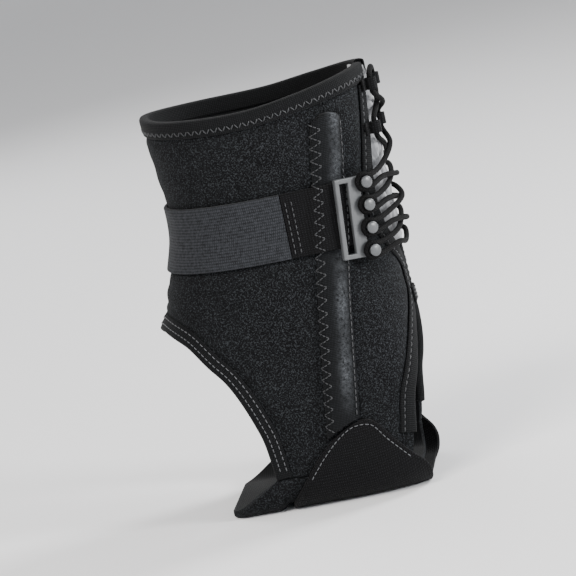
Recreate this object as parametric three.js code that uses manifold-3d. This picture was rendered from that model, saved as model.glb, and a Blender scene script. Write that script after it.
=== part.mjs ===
// Lace-up ankle brace with side stays, an elastic strap, lacing plates and a foot strap.
// Millimetres, +Z up, foot opening towards -X, lacing towards +X. The near side (-Y) is modelled
// and the far side is its mirror image. Angles turn from the front (0) to the back (PI).
import * as THREE from 'three';
import { mergeVertices } from 'three/addons/utils/BufferGeometryUtils.js';
import Module from 'manifold-3d';

const wasm = await Module();
wasm.setup();
const { clamp, lerp, smoothstep, degToRad } = THREE.MathUtils;

// Overall form
const HEIGHT = 186;
const ANKLE_DEPTH = 96;
const ANKLE_WIDTH = 73;
const SOLE_CORNER = 13;

// Walls and the space between neighbouring pieces
const PANEL_WALL = 3.2;
const FOOT_STRAP_WALL = 2.2;
const STRAP_WALL = 1.6;
const GUSSET_WALL = 1.4;
const SEAM_GAP = 0.3;
const LAYER_GAP = 0.5;

// Edge bindings
const BINDING_WIDTH = 6.5;
const BINDING_WALL = 0.9;

// Laced gap, back seam and heel opening
const HEEL_OPENING_TOP = 84;
const HEEL_OPENING_HALF = 32.3;
const LACE_GAP_FOOT = 96;
const LACE_GAP_HALF = 17.5;
const BACK_SEAM_HALF = 1.55;

// Side seam and the stay channel that covers it
const CHANNEL_FOOT_X = 6.9;
const CHANNEL_LEAN = 0.147;
const CHANNEL_WIDTH = 14;
const CHANNEL_TOP = 170;
const CHANNEL_TAPE = 0.9;
const CHANNEL_RELIEF = 2.6;
const CHANNEL_PRESSED = 0.6;

// Elastic strap and its webbing ends
const STRAP_WIDTH = 28.5;
const STRAP_CENTRE = 125.5;
const ELASTIC_END_X = 6;
const TAB_END_X = 38;

// Foot strap and sole
const FOOT_STRAP_FRONT_X = -18;
const FOOT_STRAP_LENGTH = 62;
const FOOT_STRAP_HEIGHT = 36.5;
const SOLE_FRONT_X = -45.6;
const SOLE_WING = 23.7;
const SOLE_REAR_X = 39;

// Lacing plates and pegs
const PLATE_WIDTH = 13.6;
const PLATE_HEIGHT = 35;
const PLATE_WALL = 2.4;
const PLATE_CENTRE = 123.5;
const PLATE_LEAN = 5;
const PLATE_BAR = 2.2;
const PLATE_SLOT = 4;
const PLATE_FRONT_X = 27.4;
const PLATE_BACK_X = 37.8;
const PEG_COUNT = 4;
const PEG_PITCH = 9.9;
const PEG_RADIUS = 1.4;
const PEG_HEAD_RADIUS = 2.6;
const PEG_HEAD_WALL = 1.4;

// Lace and its webbing eyes
const LACE_RADIUS = 1.2;
const EYE_WALL = 0.7;
const EYE_HEIGHT = 5;
const UPPER_EYE = 175.5;
const LOWER_EYE = 157;
const GUSSET_BULGE = 2;
const GUSSET_TOP = 183;

// Outer form from the floor up: height as a share of HEIGHT, reach to the front and to
// the back as shares of ANKLE_DEPTH, half width as a share of ANKLE_WIDTH, and how square the
// section is (2 is an ellipse).
const SECTIONS = [
  { height: 0.000, front: 1.156, back: 0.562, half: 0.502, square: 3.20 },
  { height: 0.084, front: 1.156, back: 0.562, half: 0.507, square: 3.20 },
  { height: 0.161, front: 1.104, back: 0.552, half: 0.527, square: 3.00 },
  { height: 0.269, front: 1.000, back: 0.542, half: 0.541, square: 2.70 },
  { height: 0.376, front: 0.812, back: 0.526, half: 0.562, square: 2.50 },
  { height: 0.462, front: 0.656, back: 0.516, half: 0.568, square: 2.40 },
  { height: 0.511, front: 0.604, back: 0.513, half: 0.548, square: 2.35 },
  { height: 0.565, front: 0.568, back: 0.511, half: 0.523, square: 2.30 },
  { height: 0.618, front: 0.531, back: 0.510, half: 0.507, square: 2.28 },
  { height: 0.677, front: 0.500, back: 0.510, half: 0.500, square: 2.25 },
  { height: 0.753, front: 0.495, back: 0.505, half: 0.504, square: 2.25 },
  { height: 0.860, front: 0.516, back: 0.510, half: 0.527, square: 2.22 },
  { height: 1.000, front: 0.542, back: 0.516, half: 0.555, square: 2.20 },
];

// Finished rim: turn round the form (0 front, 1 back) and height as a share of HEIGHT
const RIM = [
  { turn: 0.00, height: 0.971 },
  { turn: 0.25, height: 0.960 },
  { turn: 0.50, height: 0.958 },
  { turn: 0.69, height: 0.973 },
  { turn: 0.83, height: 0.988 },
  { turn: 0.92, height: 0.995 },
  { turn: 1.00, height: 1.000 },
];

// Panel edge at the foot opening, from the instep down to the arch: reach in front of the upright
// axis as a share of ANKLE_DEPTH, height as a share of HEIGHT
const FOOT_OPENING = [
  { reach: 0.611, height: 0.471 },
  { reach: 0.505, height: 0.441 },
  { reach: 0.404, height: 0.378 },
  { reach: 0.329, height: 0.324 },
  { reach: 0.255, height: 0.226 },
  { reach: 0.229, height: 0.169 },
];
const INSTEP_HEIGHT = 0.4645;
const ARCH_REACH = 0.216;

// Heel opening: height as a share of HEEL_OPENING_TOP, half width as a share of
// HEEL_OPENING_HALF
const HEEL_OPENING = [
  { height: 0.18, half: 1.000 },
  { height: 0.34, half: 0.950 },
  { height: 0.49, half: 0.867 },
  { height: 0.60, half: 0.728 },
  { height: 0.71, half: 0.567 },
  { height: 0.80, half: 0.409 },
  { height: 0.86, half: 0.272 },
  { height: 0.91, half: 0.161 },
  { height: 0.95, half: 0.082 },
  { height: 1.00, half: 0.048 },
];

// Laced gap: height as a share of the way from LACE_GAP_FOOT to HEIGHT, half width as a share
// of LACE_GAP_HALF
const LACE_GAP = [
  { height: 0.00, half: 0.089 },
  { height: 0.03, half: 0.194 },
  { height: 0.08, half: 0.411 },
  { height: 0.13, half: 0.663 },
  { height: 0.20, half: 0.869 },
  { height: 0.27, half: 0.983 },
  { height: 0.34, half: 1.000 },
  { height: 0.43, half: 0.943 },
  { height: 0.54, half: 0.811 },
  { height: 0.66, half: 0.674 },
  { height: 0.77, half: 0.543 },
  { height: 0.88, half: 0.429 },
  { height: 1.00, half: 0.343 },
];

// Outline of the foot strap from the side: height as a share of FOOT_STRAP_HEIGHT, and its
// front and rear edges as shares of FOOT_STRAP_LENGTH from the strap's front
const FOOT_STRAP_OUTLINE = [
  { height: 0.00, front: 0.000, rear: 0.985 },
  { height: 0.08, front: 0.024, rear: 1.000 },
  { height: 0.22, front: 0.085, rear: 1.000 },
  { height: 0.34, front: 0.135, rear: 0.971 },
  { height: 0.44, front: 0.177, rear: 0.924 },
  { height: 0.52, front: 0.215, rear: 0.890 },
  { height: 0.60, front: 0.255, rear: 0.855 },
  { height: 0.68, front: 0.300, rear: 0.819 },
  { height: 0.77, front: 0.355, rear: 0.782 },
  { height: 0.88, front: 0.439, rear: 0.742 },
  { height: 0.96, front: 0.524, rear: 0.698 },
  { height: 0.99, front: 0.580, rear: 0.668 },
  { height: 1.00, front: 0.612, rear: 0.645 },
];

// Value of a table's column at a place along it, on a smooth curve through the rows
function tableValue(rows, along, column, place) {
  const last = rows.length - 1;
  const x = clamp(place, rows[0][along], rows[last][along]);
  let i = 0;
  while (i < last - 1 && x > rows[i + 1][along]) {
    i += 1;
  }
  const slope = (j) => {
    const before = rows[Math.max(j - 1, 0)];
    const after = rows[Math.min(j + 1, last)];
    return (after[column] - before[column]) / (after[along] - before[along]);
  };
  const span = rows[i + 1][along] - rows[i][along];
  const t = (x - rows[i][along]) / span;
  const start = rows[i][column];
  const rise = rows[i + 1][column] - start;
  const leave = slope(i) * span;
  const arrive = slope(i + 1) * span;
  return start + leave * t + (3 * rise - 2 * leave - arrive) * t * t
    + (leave + arrive - 2 * rise) * t * t * t;
}

function sectionAt(z) {
  const share = z / HEIGHT;
  return {
    front: ANKLE_DEPTH * tableValue(SECTIONS, 'height', 'front', share),
    back: ANKLE_DEPTH * tableValue(SECTIONS, 'height', 'back', share),
    half: ANKLE_WIDTH * tableValue(SECTIONS, 'height', 'half', share),
    square: tableValue(SECTIONS, 'height', 'square', share),
  };
}

// Point of the outer surface of the panels, on a superellipse whose front and back reaches
// differ
function legPoint(angle, z) {
  const section = sectionAt(z);
  const c = Math.cos(angle);
  const s = Math.sin(angle);
  const reach = c > 0 ? section.front : section.back;
  const sum = Math.abs(c / reach) ** section.square + Math.abs(s / section.half) ** section.square;
  const radius = sum ** (-1 / section.square);
  return new THREE.Vector3(-radius * c, -radius * s, z);
}

// The same surface raised by lift along its normal
function skin(angle, z, lift) {
  const turn = 0.02;
  const step = 1;
  const around = legPoint(angle + turn, z).sub(legPoint(angle - turn, z));
  const up = legPoint(angle, z + step).sub(legPoint(angle, z - step));
  const normal = around.cross(up).normalize();
  return legPoint(angle, z).addScaledVector(normal, lift);
}

// Half width of the form at a place along it, and the angle of that place
function sideY(x, z) {
  const section = sectionAt(z);
  const reach = x < 0 ? section.front : section.back;
  const ratio = Math.min(Math.abs(x) / reach, 1);
  return section.half * (1 - ratio ** section.square) ** (1 / section.square);
}

const angleAt = (x, z) => Math.atan2(sideY(x, z), -x);

// Angle at which the half width is y, on the back of the form
function backAngleAt(y, z) {
  const section = sectionAt(z);
  const x = section.back * (1 - (y / section.half) ** section.square) ** (1 / section.square);
  return Math.atan2(y, -x);
}

function rimHeight(angle) {
  return HEIGHT * tableValue(RIM, 'turn', 'height', Math.abs(angle) / Math.PI);
}

// Gives a mesh of corners and triangles its faces outwards, whatever way they were listed
function solidGeometry(corners, triangles) {
  let volume = 0;
  const cross = new THREE.Vector3();
  for (let i = 0; i < triangles.length; i += 3) {
    const [a, b, c] = [corners[triangles[i]], corners[triangles[i + 1]], corners[triangles[i + 2]]];
    volume += a.dot(cross.crossVectors(b, c));
  }
  const geometry = new THREE.BufferGeometry().setFromPoints(corners);
  geometry.setIndex(volume > 0 ? triangles : [...triangles].reverse());
  geometry.computeVertexNormals();
  return geometry;
}

// A sheet with a wall: place(i, j, inner) gives the point of column i and row j on its outer
// or inner face, and the four edges are closed
function sheetGeometry(columns, rows, place) {
  const corners = [];
  for (const inner of [false, true]) {
    for (let j = 0; j <= rows; j += 1) {
      for (let i = 0; i <= columns; i += 1) {
        corners.push(place(i, j, inner));
      }
    }
  }
  const outer = (i, j) => j * (columns + 1) + i;
  const inner = (i, j) => outer(i, j) + (columns + 1) * (rows + 1);
  const triangles = [];
  const quad = (a, b, c, d) => triangles.push(a, b, c, a, c, d);
  for (let j = 0; j < rows; j += 1) {
    for (let i = 0; i < columns; i += 1) {
      quad(outer(i, j), outer(i + 1, j), outer(i + 1, j + 1), outer(i, j + 1));
      quad(inner(i, j + 1), inner(i + 1, j + 1), inner(i + 1, j), inner(i, j));
    }
  }
  for (let i = 0; i < columns; i += 1) {
    quad(inner(i, 0), inner(i + 1, 0), outer(i + 1, 0), outer(i, 0));
    quad(outer(i, rows), outer(i + 1, rows), inner(i + 1, rows), inner(i, rows));
  }
  for (let j = 0; j < rows; j += 1) {
    quad(inner(0, j), outer(0, j), outer(0, j + 1), inner(0, j + 1));
    quad(outer(columns, j), inner(columns, j), inner(columns, j + 1), outer(columns, j + 1));
  }
  return solidGeometry(corners, triangles);
}

// A band with a closed flat section: place(i, point) puts a point of the section at station i
function bandGeometry(count, section, place) {
  const corners = [];
  for (let i = 0; i < count; i += 1) {
    for (const point of section) {
      corners.push(place(i, point));
    }
  }
  const sides = section.length;
  const triangles = [];
  for (let i = 0; i < count - 1; i += 1) {
    for (let k = 0; k < sides; k += 1) {
      const next = (k + 1) % sides;
      const a = i * sides;
      const b = a + sides;
      triangles.push(a + k, a + next, b + next, a + k, b + next, b + k);
    }
  }
  const end = (count - 1) * sides;
  const { area, triangulateShape } = THREE.ShapeUtils;
  for (const [a, b, c] of triangulateShape(section, [])) {
    const same = area(section) * area([section[a], section[b], section[c]]) > 0;
    const [p, q, r] = same ? [a, b, c] : [a, c, b];
    triangles.push(r, q, p, end + p, end + q, end + r);
  }
  return solidGeometry(corners, triangles);
}

// The folded binding of an edge: stations are places (angle, z) along the panel's edge, and
// the section is a U of two legs and a cap. into is +1 or -1, the side that the panel is on.
function bindingGeometry(stations, into) {
  const outerTop = LAYER_GAP + BINDING_WALL;
  const innerFoot = -PANEL_WALL - LAYER_GAP;
  const innerTop = innerFoot - BINDING_WALL;
  const cap = -SEAM_GAP - BINDING_WALL;
  const rounding = BINDING_WALL / 4;
  const section = [
    new THREE.Vector2(BINDING_WIDTH, outerTop),
    new THREE.Vector2(cap, outerTop - rounding),
    new THREE.Vector2(cap, innerTop + rounding),
    new THREE.Vector2(BINDING_WIDTH, innerTop),
    new THREE.Vector2(BINDING_WIDTH, innerFoot),
    new THREE.Vector2(-SEAM_GAP, innerFoot),
    new THREE.Vector2(-SEAM_GAP, LAYER_GAP),
    new THREE.Vector2(BINDING_WIDTH, LAYER_GAP),
  ];
  const steps = stations.map((station, i) => {
    const before = stations[Math.max(i - 1, 0)];
    const after = stations[Math.min(i + 1, stations.length - 1)];
    return inwardStep(station, before, after, into);
  });
  return bandGeometry(stations.length, section, (i, point) => {
    const angle = stations[i].x + steps[i].x * point.x;
    const z = stations[i].y + steps[i].y * point.x;
    return skin(angle, z, point.y);
  });
}

// The change of (angle, z) that moves one millimetre into the panel, square to its edge
function inwardStep(station, before, after, into) {
  const turn = 0.01;
  const step = 0.5;
  const around = legPoint(station.x + turn, station.y).sub(legPoint(station.x - turn, station.y));
  around.divideScalar(2 * turn);
  const up = legPoint(station.x, station.y + step).sub(legPoint(station.x, station.y - step));
  up.divideScalar(2 * step);
  const tangent = legPoint(after.x, after.y).sub(legPoint(before.x, before.y));
  const normal = new THREE.Vector3().crossVectors(around, up).normalize();
  const inward = new THREE.Vector3().crossVectors(normal, tangent).normalize();
  inward.multiplyScalar(into);
  const aa = around.dot(around);
  const ab = around.dot(up);
  const bb = up.dot(up);
  const ad = around.dot(inward);
  const bd = up.dot(inward);
  const scale = aa * bb - ab * ab;
  return new THREE.Vector2((ad * bb - bd * ab) / scale, (bd * aa - ad * ab) / scale);
}

// A copy on the other side of the brace
function mirrored(geometry) {
  const copy = geometry.clone();
  copy.scale(1, -1, 1);
  copy.setIndex([...copy.index.array].reverse());
  copy.computeVertexNormals();
  return copy;
}

// Evenly spaced shares from 0 to 1
const shares = (count) => Array.from({ length: count + 1 }, (_, i) => i / count);

// Side seam
const channelAngle = (z) => angleAt(CHANNEL_FOOT_X + CHANNEL_LEAN * z, z);
const seamAngle = (z, side) => {
  const x = CHANNEL_FOOT_X + CHANNEL_LEAN * z + side * SEAM_GAP / 2;
  return angleAt(x, z);
};

// Underside: its base, and the height at which its corner meets the side panels
const SOLE_BASE = FOOT_STRAP_WALL + LAYER_GAP;
const SOLE_JOIN = SOLE_BASE + SOLE_CORNER;
const PANEL_FOOT = SOLE_JOIN + SEAM_GAP;

// Panel edges
const panelRim = (angle) => rimHeight(angle) - BINDING_WALL - SEAM_GAP;

function backEdgeHalf(z) {
  if (z < HEEL_OPENING_TOP) {
    const share = z / HEEL_OPENING_TOP;
    const half = HEEL_OPENING_HALF * tableValue(HEEL_OPENING, 'height', 'half', share);
    return Math.max(half, BACK_SEAM_HALF);
  }
  const share = (z - LACE_GAP_FOOT) / (HEIGHT - LACE_GAP_FOOT);
  const half = LACE_GAP_HALF * tableValue(LACE_GAP, 'height', 'half', share);
  return Math.max(half, BACK_SEAM_HALF);
}

const backEdgeAngle = (z) => backAngleAt(backEdgeHalf(z), z);

// Foot opening: a smooth curve of places (angle, z) from the far arch over the instep to the
// near arch
function footOpeningStations() {
  const roundness = ANKLE_DEPTH / 2;
  const side = FOOT_OPENING.map((row) => {
    const z = HEIGHT * row.height;
    return new THREE.Vector2(roundness * angleAt(-ANKLE_DEPTH * row.reach, z), z);
  });
  const arch = angleAt(-ANKLE_DEPTH * ARCH_REACH, PANEL_FOOT);
  side.push(new THREE.Vector2(roundness * arch, PANEL_FOOT));
  const far = [...side].reverse().map((point) => new THREE.Vector2(-point.x, point.y));
  const instep = new THREE.Vector2(0, HEIGHT * INSTEP_HEIGHT);
  const curve = new THREE.SplineCurve([...far, instep, ...side]);
  return curve.getSpacedPoints(20).map((point) => new THREE.Vector2(point.x / roundness, point.y));
}

// Panels
const FRONT_ARCH_STEPS = 4;
const REAR_COLUMNS = 8;

// Place (angle, z) on the front panel's rim, from -1 at the far seam to 1 at the near seam
function frontRimPlace(across) {
  const z = panelRim(across * seamAngle(HEIGHT, -1));
  return new THREE.Vector2(across * seamAngle(z, -1), z);
}

// Lower edge of the front panel, from the far seam over the foot opening to the near seam
function frontFootStations() {
  const opening = footOpeningStations();
  const corner = opening[opening.length - 1];
  const seam = seamAngle(PANEL_FOOT, -1);
  const arch = shares(FRONT_ARCH_STEPS).slice(1).map((share) => {
    return new THREE.Vector2(lerp(corner.x, seam, share), PANEL_FOOT);
  });
  const far = [...arch].reverse().map((place) => new THREE.Vector2(-place.x, place.y));
  return [...far, ...opening, ...arch];
}

function frontPanel() {
  const foot = frontFootStations();
  const columns = foot.length - 1;
  const rows = 15;
  return sheetGeometry(columns, rows, (i, j, inner) => {
    const across = 2 * i / columns - 1;
    const low = foot[i].x / seamAngle(foot[i].y, -1);
    const z = lerp(foot[i].y, frontRimPlace(across).y, j / rows);
    const angle = lerp(low, across, j / rows) * seamAngle(z, -1);
    return skin(angle, z, inner ? -PANEL_WALL : 0);
  });
}

// Heights of the rear panel's rows at its back edge: heel opening, back seam and laced gap
function backEdgeHeights() {
  const opening = shares(9).map((share) => lerp(PANEL_FOOT, HEEL_OPENING_TOP, share));
  const gap = shares(12).map((share) => lerp(LACE_GAP_FOOT, panelRim(Math.PI), share ** 1.35));
  return [...opening, ...gap];
}

// Place (angle, z) on the rear panel, from the seam (0) to the back edge (1)
function rearPlace(share, height) {
  const edge = lerp(seamAngle(height, 1), backEdgeAngle(height), share);
  const rim = panelRim(Math.PI);
  const rise = clamp((height - LACE_GAP_FOOT) / (rim - LACE_GAP_FOOT), 0, 1);
  const z = height - (rim - panelRim(edge)) * rise ** 2;
  return new THREE.Vector2(lerp(seamAngle(z, 1), backEdgeAngle(z), share), z);
}

function rearPanel() {
  const heights = backEdgeHeights();
  return sheetGeometry(REAR_COLUMNS, heights.length - 1, (i, j, inner) => {
    const place = rearPlace(i / REAR_COLUMNS, heights[j]);
    return skin(place.x, place.y, inner ? -PANEL_WALL : 0);
  });
}

// Bindings
function footOpeningBinding() {
  const clear = PANEL_FOOT + SEAM_GAP;
  const stations = footOpeningStations();
  for (const end of [stations[0], stations[stations.length - 1]]) {
    end.y = clear;
  }
  return bindingGeometry(stations, 1);
}

function topBinding() {
  const columns = frontFootStations().length - 1;
  const front = shares(columns).map((share) => frontRimPlace(2 * share - 1));
  const near = shares(REAR_COLUMNS).map((share) => rearPlace(share, panelRim(Math.PI)));
  const far = [...near].reverse().map((place) => new THREE.Vector2(-place.x, place.y));
  return bindingGeometry([...far, ...front, ...near], -1);
}

// The part of a rising row of places between two heights
function trimmed(places, low, high) {
  const cut = (z) => {
    const i = places.findIndex((place) => place.y > z);
    const share = (z - places[i - 1].y) / (places[i].y - places[i - 1].y);
    return places[i - 1].clone().lerp(places[i], share);
  };
  return [cut(low), ...places.filter((place) => place.y > low && place.y < high), cut(high)];
}

function backBinding() {
  const foot = PANEL_FOOT + 1.3 * BINDING_WIDTH;
  const places = backEdgeHeights().map((height) => rearPlace(1, height));
  const edge = places[places.length - 1].x;
  const rim = panelRim(edge - BINDING_WIDTH / sectionAt(HEIGHT).back);
  const top = rim - 1.25 * BINDING_WIDTH;
  return bindingGeometry(trimmed(places, foot, top), 1);
}

// Stay channel: how far its outer face stands off the panel, across (-1 to 1) and up
const STRAP_LOW = STRAP_CENTRE - STRAP_WIDTH / 2;
const STRAP_HIGH = STRAP_CENTRE + STRAP_WIDTH / 2;

function channelLift(across, z) {
  const ease = 6;
  const clear = (PLATE_HEIGHT - STRAP_WIDTH) / 2;
  const below = smoothstep(z, STRAP_LOW - clear - ease, STRAP_LOW - clear);
  const above = smoothstep(z, STRAP_HIGH + clear, STRAP_HIGH + clear + ease);
  const relief = lerp(CHANNEL_RELIEF, CHANNEL_PRESSED, below * (1 - above));
  const dome = Math.max(1 - across * across, 0) ** 0.7;
  const fade = 1 - smoothstep(Math.abs(across), 1, 1.6);
  return (LAYER_GAP + CHANNEL_TAPE) * fade + relief * dome;
}

function channelHalfTurn(z) {
  const point = legPoint(channelAngle(z), z);
  return CHANNEL_WIDTH / 2 / Math.hypot(point.x, point.y);
}

// Height of the foot strap's front edge at a place in front of its peak
function footStrapFrontHeight(x) {
  const share = (x - FOOT_STRAP_FRONT_X) / FOOT_STRAP_LENGTH;
  return FOOT_STRAP_HEIGHT * tableValue(FOOT_STRAP_OUTLINE, 'front', 'height', share);
}

function stayChannel() {
  const columns = 6;
  const rows = 15;
  const seamX = CHANNEL_FOOT_X + CHANNEL_LEAN * FOOT_STRAP_HEIGHT;
  return sheetGeometry(columns, rows, (i, j, inner) => {
    const across = 2 * i / columns - 1;
    const low = footStrapFrontHeight(seamX + across * CHANNEL_WIDTH / 2) + 3 * LAYER_GAP;
    const round = CHANNEL_WIDTH / 2 * (1 - Math.sqrt(1 - across * across));
    const z = lerp(low, CHANNEL_TOP - round, j / rows);
    const angle = channelAngle(z) + across * channelHalfTurn(z);
    return skin(angle, z, inner ? LAYER_GAP : channelLift(across, z));
  });
}

// Elastic strap and its webbing ends
function elasticStrap() {
  const columns = 24;
  const rows = 3;
  return sheetGeometry(columns, rows, (i, j, inner) => {
    const z = lerp(STRAP_LOW, STRAP_HIGH, j / rows);
    const angle = (2 * i / columns - 1) * angleAt(ELASTIC_END_X, z);
    return skin(angle, z, LAYER_GAP + (inner ? 0 : STRAP_WALL));
  });
}

function strapTab() {
  const columns = 12;
  const rows = 3;
  return sheetGeometry(columns, rows, (i, j, inner) => {
    const z = lerp(STRAP_LOW, STRAP_HIGH, j / rows);
    const x = lerp(ELASTIC_END_X + SEAM_GAP, TAB_END_X, i / columns);
    const angle = angleAt(x, z);
    const across = (angle - channelAngle(z)) / channelHalfTurn(z);
    const lift = channelLift(across, z) + LAYER_GAP;
    return skin(angle, z, lift + (inner ? 0 : STRAP_WALL));
  });
}

// Underside: a point of the form at a place x and a girth from the middle of the sole,
// along the flat, round the corner and up the side
function underPoint(x, girth) {
  const join = sideY(x, SOLE_JOIN);
  const flat = join - SOLE_CORNER;
  const bend = SOLE_CORNER * Math.PI / 2;
  const s = Math.abs(girth);
  const side = girth < 0 ? 1 : -1;
  if (s < flat) {
    return new THREE.Vector3(x, side * s, SOLE_BASE);
  }
  if (s < flat + bend) {
    const a = (s - flat) / SOLE_CORNER;
    const y = flat + SOLE_CORNER * Math.sin(a);
    return new THREE.Vector3(x, side * y, SOLE_JOIN - SOLE_CORNER * Math.cos(a));
  }
  const z = SOLE_JOIN + s - flat - bend;
  return new THREE.Vector3(x, side * sideY(x, z), z);
}

function underSkin(x, girth, lift) {
  const step = 0.25;
  const along = underPoint(x + step, girth).sub(underPoint(x - step, girth));
  const up = underPoint(x, girth + step).sub(underPoint(x, girth - step));
  const normal = along.cross(up).normalize();
  return underPoint(x, girth).addScaledVector(normal, lift);
}

// Rows of a layer on the underside, from the middle of the sole: shares of the flat, shares
// of the bend, and heights on the side
function underRows(flatShares, bendShares, heights) {
  return [
    ...flatShares.map((share) => ({ height: 0, girth: (flat) => flat * share })),
    ...bendShares.map((share) => ({
      height: SOLE_JOIN * (1 - Math.cos(share * Math.PI / 2)),
      girth: (flat) => flat + SOLE_CORNER * share * Math.PI / 2,
    })),
    ...heights.map((height) => ({
      height,
      girth: (flat) => flat + SOLE_CORNER * Math.PI / 2 + height - SOLE_JOIN,
    })),
  ];
}

// A layer on the underside from the far side to the near side: stationX(i, height) places its
// columns and lift(i, row) its outer face
function underGeometry(columns, rows, wall, stationX, lift) {
  const last = rows.length - 1;
  return sheetGeometry(columns, 2 * last, (i, j, inner) => {
    const row = rows[Math.abs(j - last)];
    const x = stationX(i, row.height);
    const flat = sideY(x, SOLE_JOIN) - SOLE_CORNER;
    const girth = row.girth(flat) * Math.sign(j - last);
    return underSkin(x, girth, lift(i, row) - (inner ? wall : 0));
  });
}

function footStrap() {
  const columns = [0, 0.25, 0.5, 0.7, 0.84, 0.94, 1];
  const walls = [0.46, 0.53, 0.6, 0.68, 0.77, 0.88, 0.96, 0.99, 1];
  const heights = walls.map((share) => share * FOOT_STRAP_HEIGHT);
  const rows = underRows([0, 0.5, 1], [0.2, 0.4, 0.6, 0.8, 1], heights);
  return underGeometry(columns.length - 1, rows, FOOT_STRAP_WALL, (i, height) => {
    const share = height / FOOT_STRAP_HEIGHT;
    const front = tableValue(FOOT_STRAP_OUTLINE, 'height', 'front', share);
    const rear = tableValue(FOOT_STRAP_OUTLINE, 'height', 'rear', share);
    return FOOT_STRAP_FRONT_X + FOOT_STRAP_LENGTH * lerp(front, rear, columns[i]);
  }, () => SOLE_BASE);
}

// The front wing of the sole panel drops to the floor in front of the foot strap
function solePanel() {
  const wingSteps = 3;
  const archSteps = 6;
  const rows = underRows([0, 0.5, 1], [0.17, 0.33, 0.5, 0.67, 0.83, 1], []);
  return underGeometry(wingSteps + 1 + archSteps, rows, PANEL_WALL, (i, height) => {
    const edge = SOLE_FRONT_X + SOLE_WING * (height / SOLE_JOIN) ** 0.7;
    const wingEnd = Math.max(edge + 1, FOOT_STRAP_FRONT_X - 5);
    const archStart = Math.max(edge + 2, FOOT_STRAP_FRONT_X - 1);
    if (i <= wingSteps) {
      return lerp(edge, wingEnd, i / wingSteps);
    }
    const share = 1 - (1 - (i - wingSteps - 1) / archSteps) ** 1.6;
    return lerp(archStart, SOLE_REAR_X, share);
  }, (i, row) => {
    const climb = row.height / SOLE_JOIN;
    return i > wingSteps ? 0 : SOLE_BASE * (1 - smoothstep(climb, 0, 0.6));
  });
}

// Gusset: tucked under the panels beside the laced gap, and bulging between them
function gussetLift(away, clear) {
  const tucked = -PANEL_WALL - BINDING_WALL - 2 * LAYER_GAP;
  const ramp = Math.min(clear, 4.5);
  const rise = 1 - smoothstep(away, clear - ramp, clear);
  return lerp(tucked, GUSSET_BULGE, rise * smoothstep(clear, 1, 6));
}

function laceGusset() {
  const rows = 13;
  const tuck = 7;
  const places = ['hidden', 'clear', 'rising', 'risen', 'half'];
  return sheetGeometry(2 * places.length, rows, (i, j, inner) => {
    const z = lerp(LACE_GAP_FOOT - 3, GUSSET_TOP, j / rows);
    const k = i <= places.length ? i : 2 * places.length - i;
    const sign = i <= places.length ? -1 : 1;
    const back = sectionAt(z).back;
    const edge = back * (Math.PI - backEdgeAngle(z));
    const clear = Math.max(edge - SEAM_GAP - BINDING_WALL - LAYER_GAP, 0.5);
    const ramp = Math.min(clear, 4.5);
    const away = {
      hidden: edge + tuck,
      clear,
      rising: clear - ramp / 2,
      risen: clear - ramp,
      half: (clear - ramp) / 2,
    }[places[k]] ?? 0;
    const lift = gussetLift(away, clear);
    return skin(Math.PI + sign * away / back, z, inner ? lift - GUSSET_WALL : lift);
  });
}

// Short bar of webbing over the lower end of the back seam
function seamTack() {
  const half = 5;
  const low = 0.905 * HEEL_OPENING_TOP;
  const height = 6;
  const columns = 4;
  return sheetGeometry(columns, 2, (i, j, inner) => {
    const z = low + height * j / 2;
    const angle = Math.PI + (2 * i / columns - 1) * half / sectionAt(z).back;
    const lift = LAYER_GAP + BINDING_WALL + LAYER_GAP;
    return skin(angle, z, inner ? lift : lift + BINDING_WALL);
  });
}

// Solid of a three.js geometry, and the geometry of a solid
function toSolid(geometry) {
  const plain = geometry.clone();
  plain.deleteAttribute('normal');
  plain.deleteAttribute('uv');
  const merged = mergeVertices(plain, 1e-4);
  return new wasm.Manifold(new wasm.Mesh({
    numProp: 3,
    vertProperties: Float32Array.from(merged.attributes.position.array),
    triVerts: Uint32Array.from(merged.index.array),
  }));
}

function toGeometry(solid) {
  const mesh = solid.getMesh();
  const geometry = new THREE.BufferGeometry();
  geometry.setAttribute('position', new THREE.BufferAttribute(mesh.vertProperties, 3));
  geometry.setIndex([...mesh.triVerts]);
  geometry.computeVertexNormals();
  return geometry;
}

// Lacing plate in its own frame: x from the front bar to the pegs, y up, z outwards
const PEG_X = PLATE_WIDTH - PEG_HEAD_RADIUS / 2;
const PEG_NECK = 2 * LACE_RADIUS + 0.9;
const pegY = (k) => PEG_PITCH * ((PEG_COUNT - 1) / 2 - k);

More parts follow.
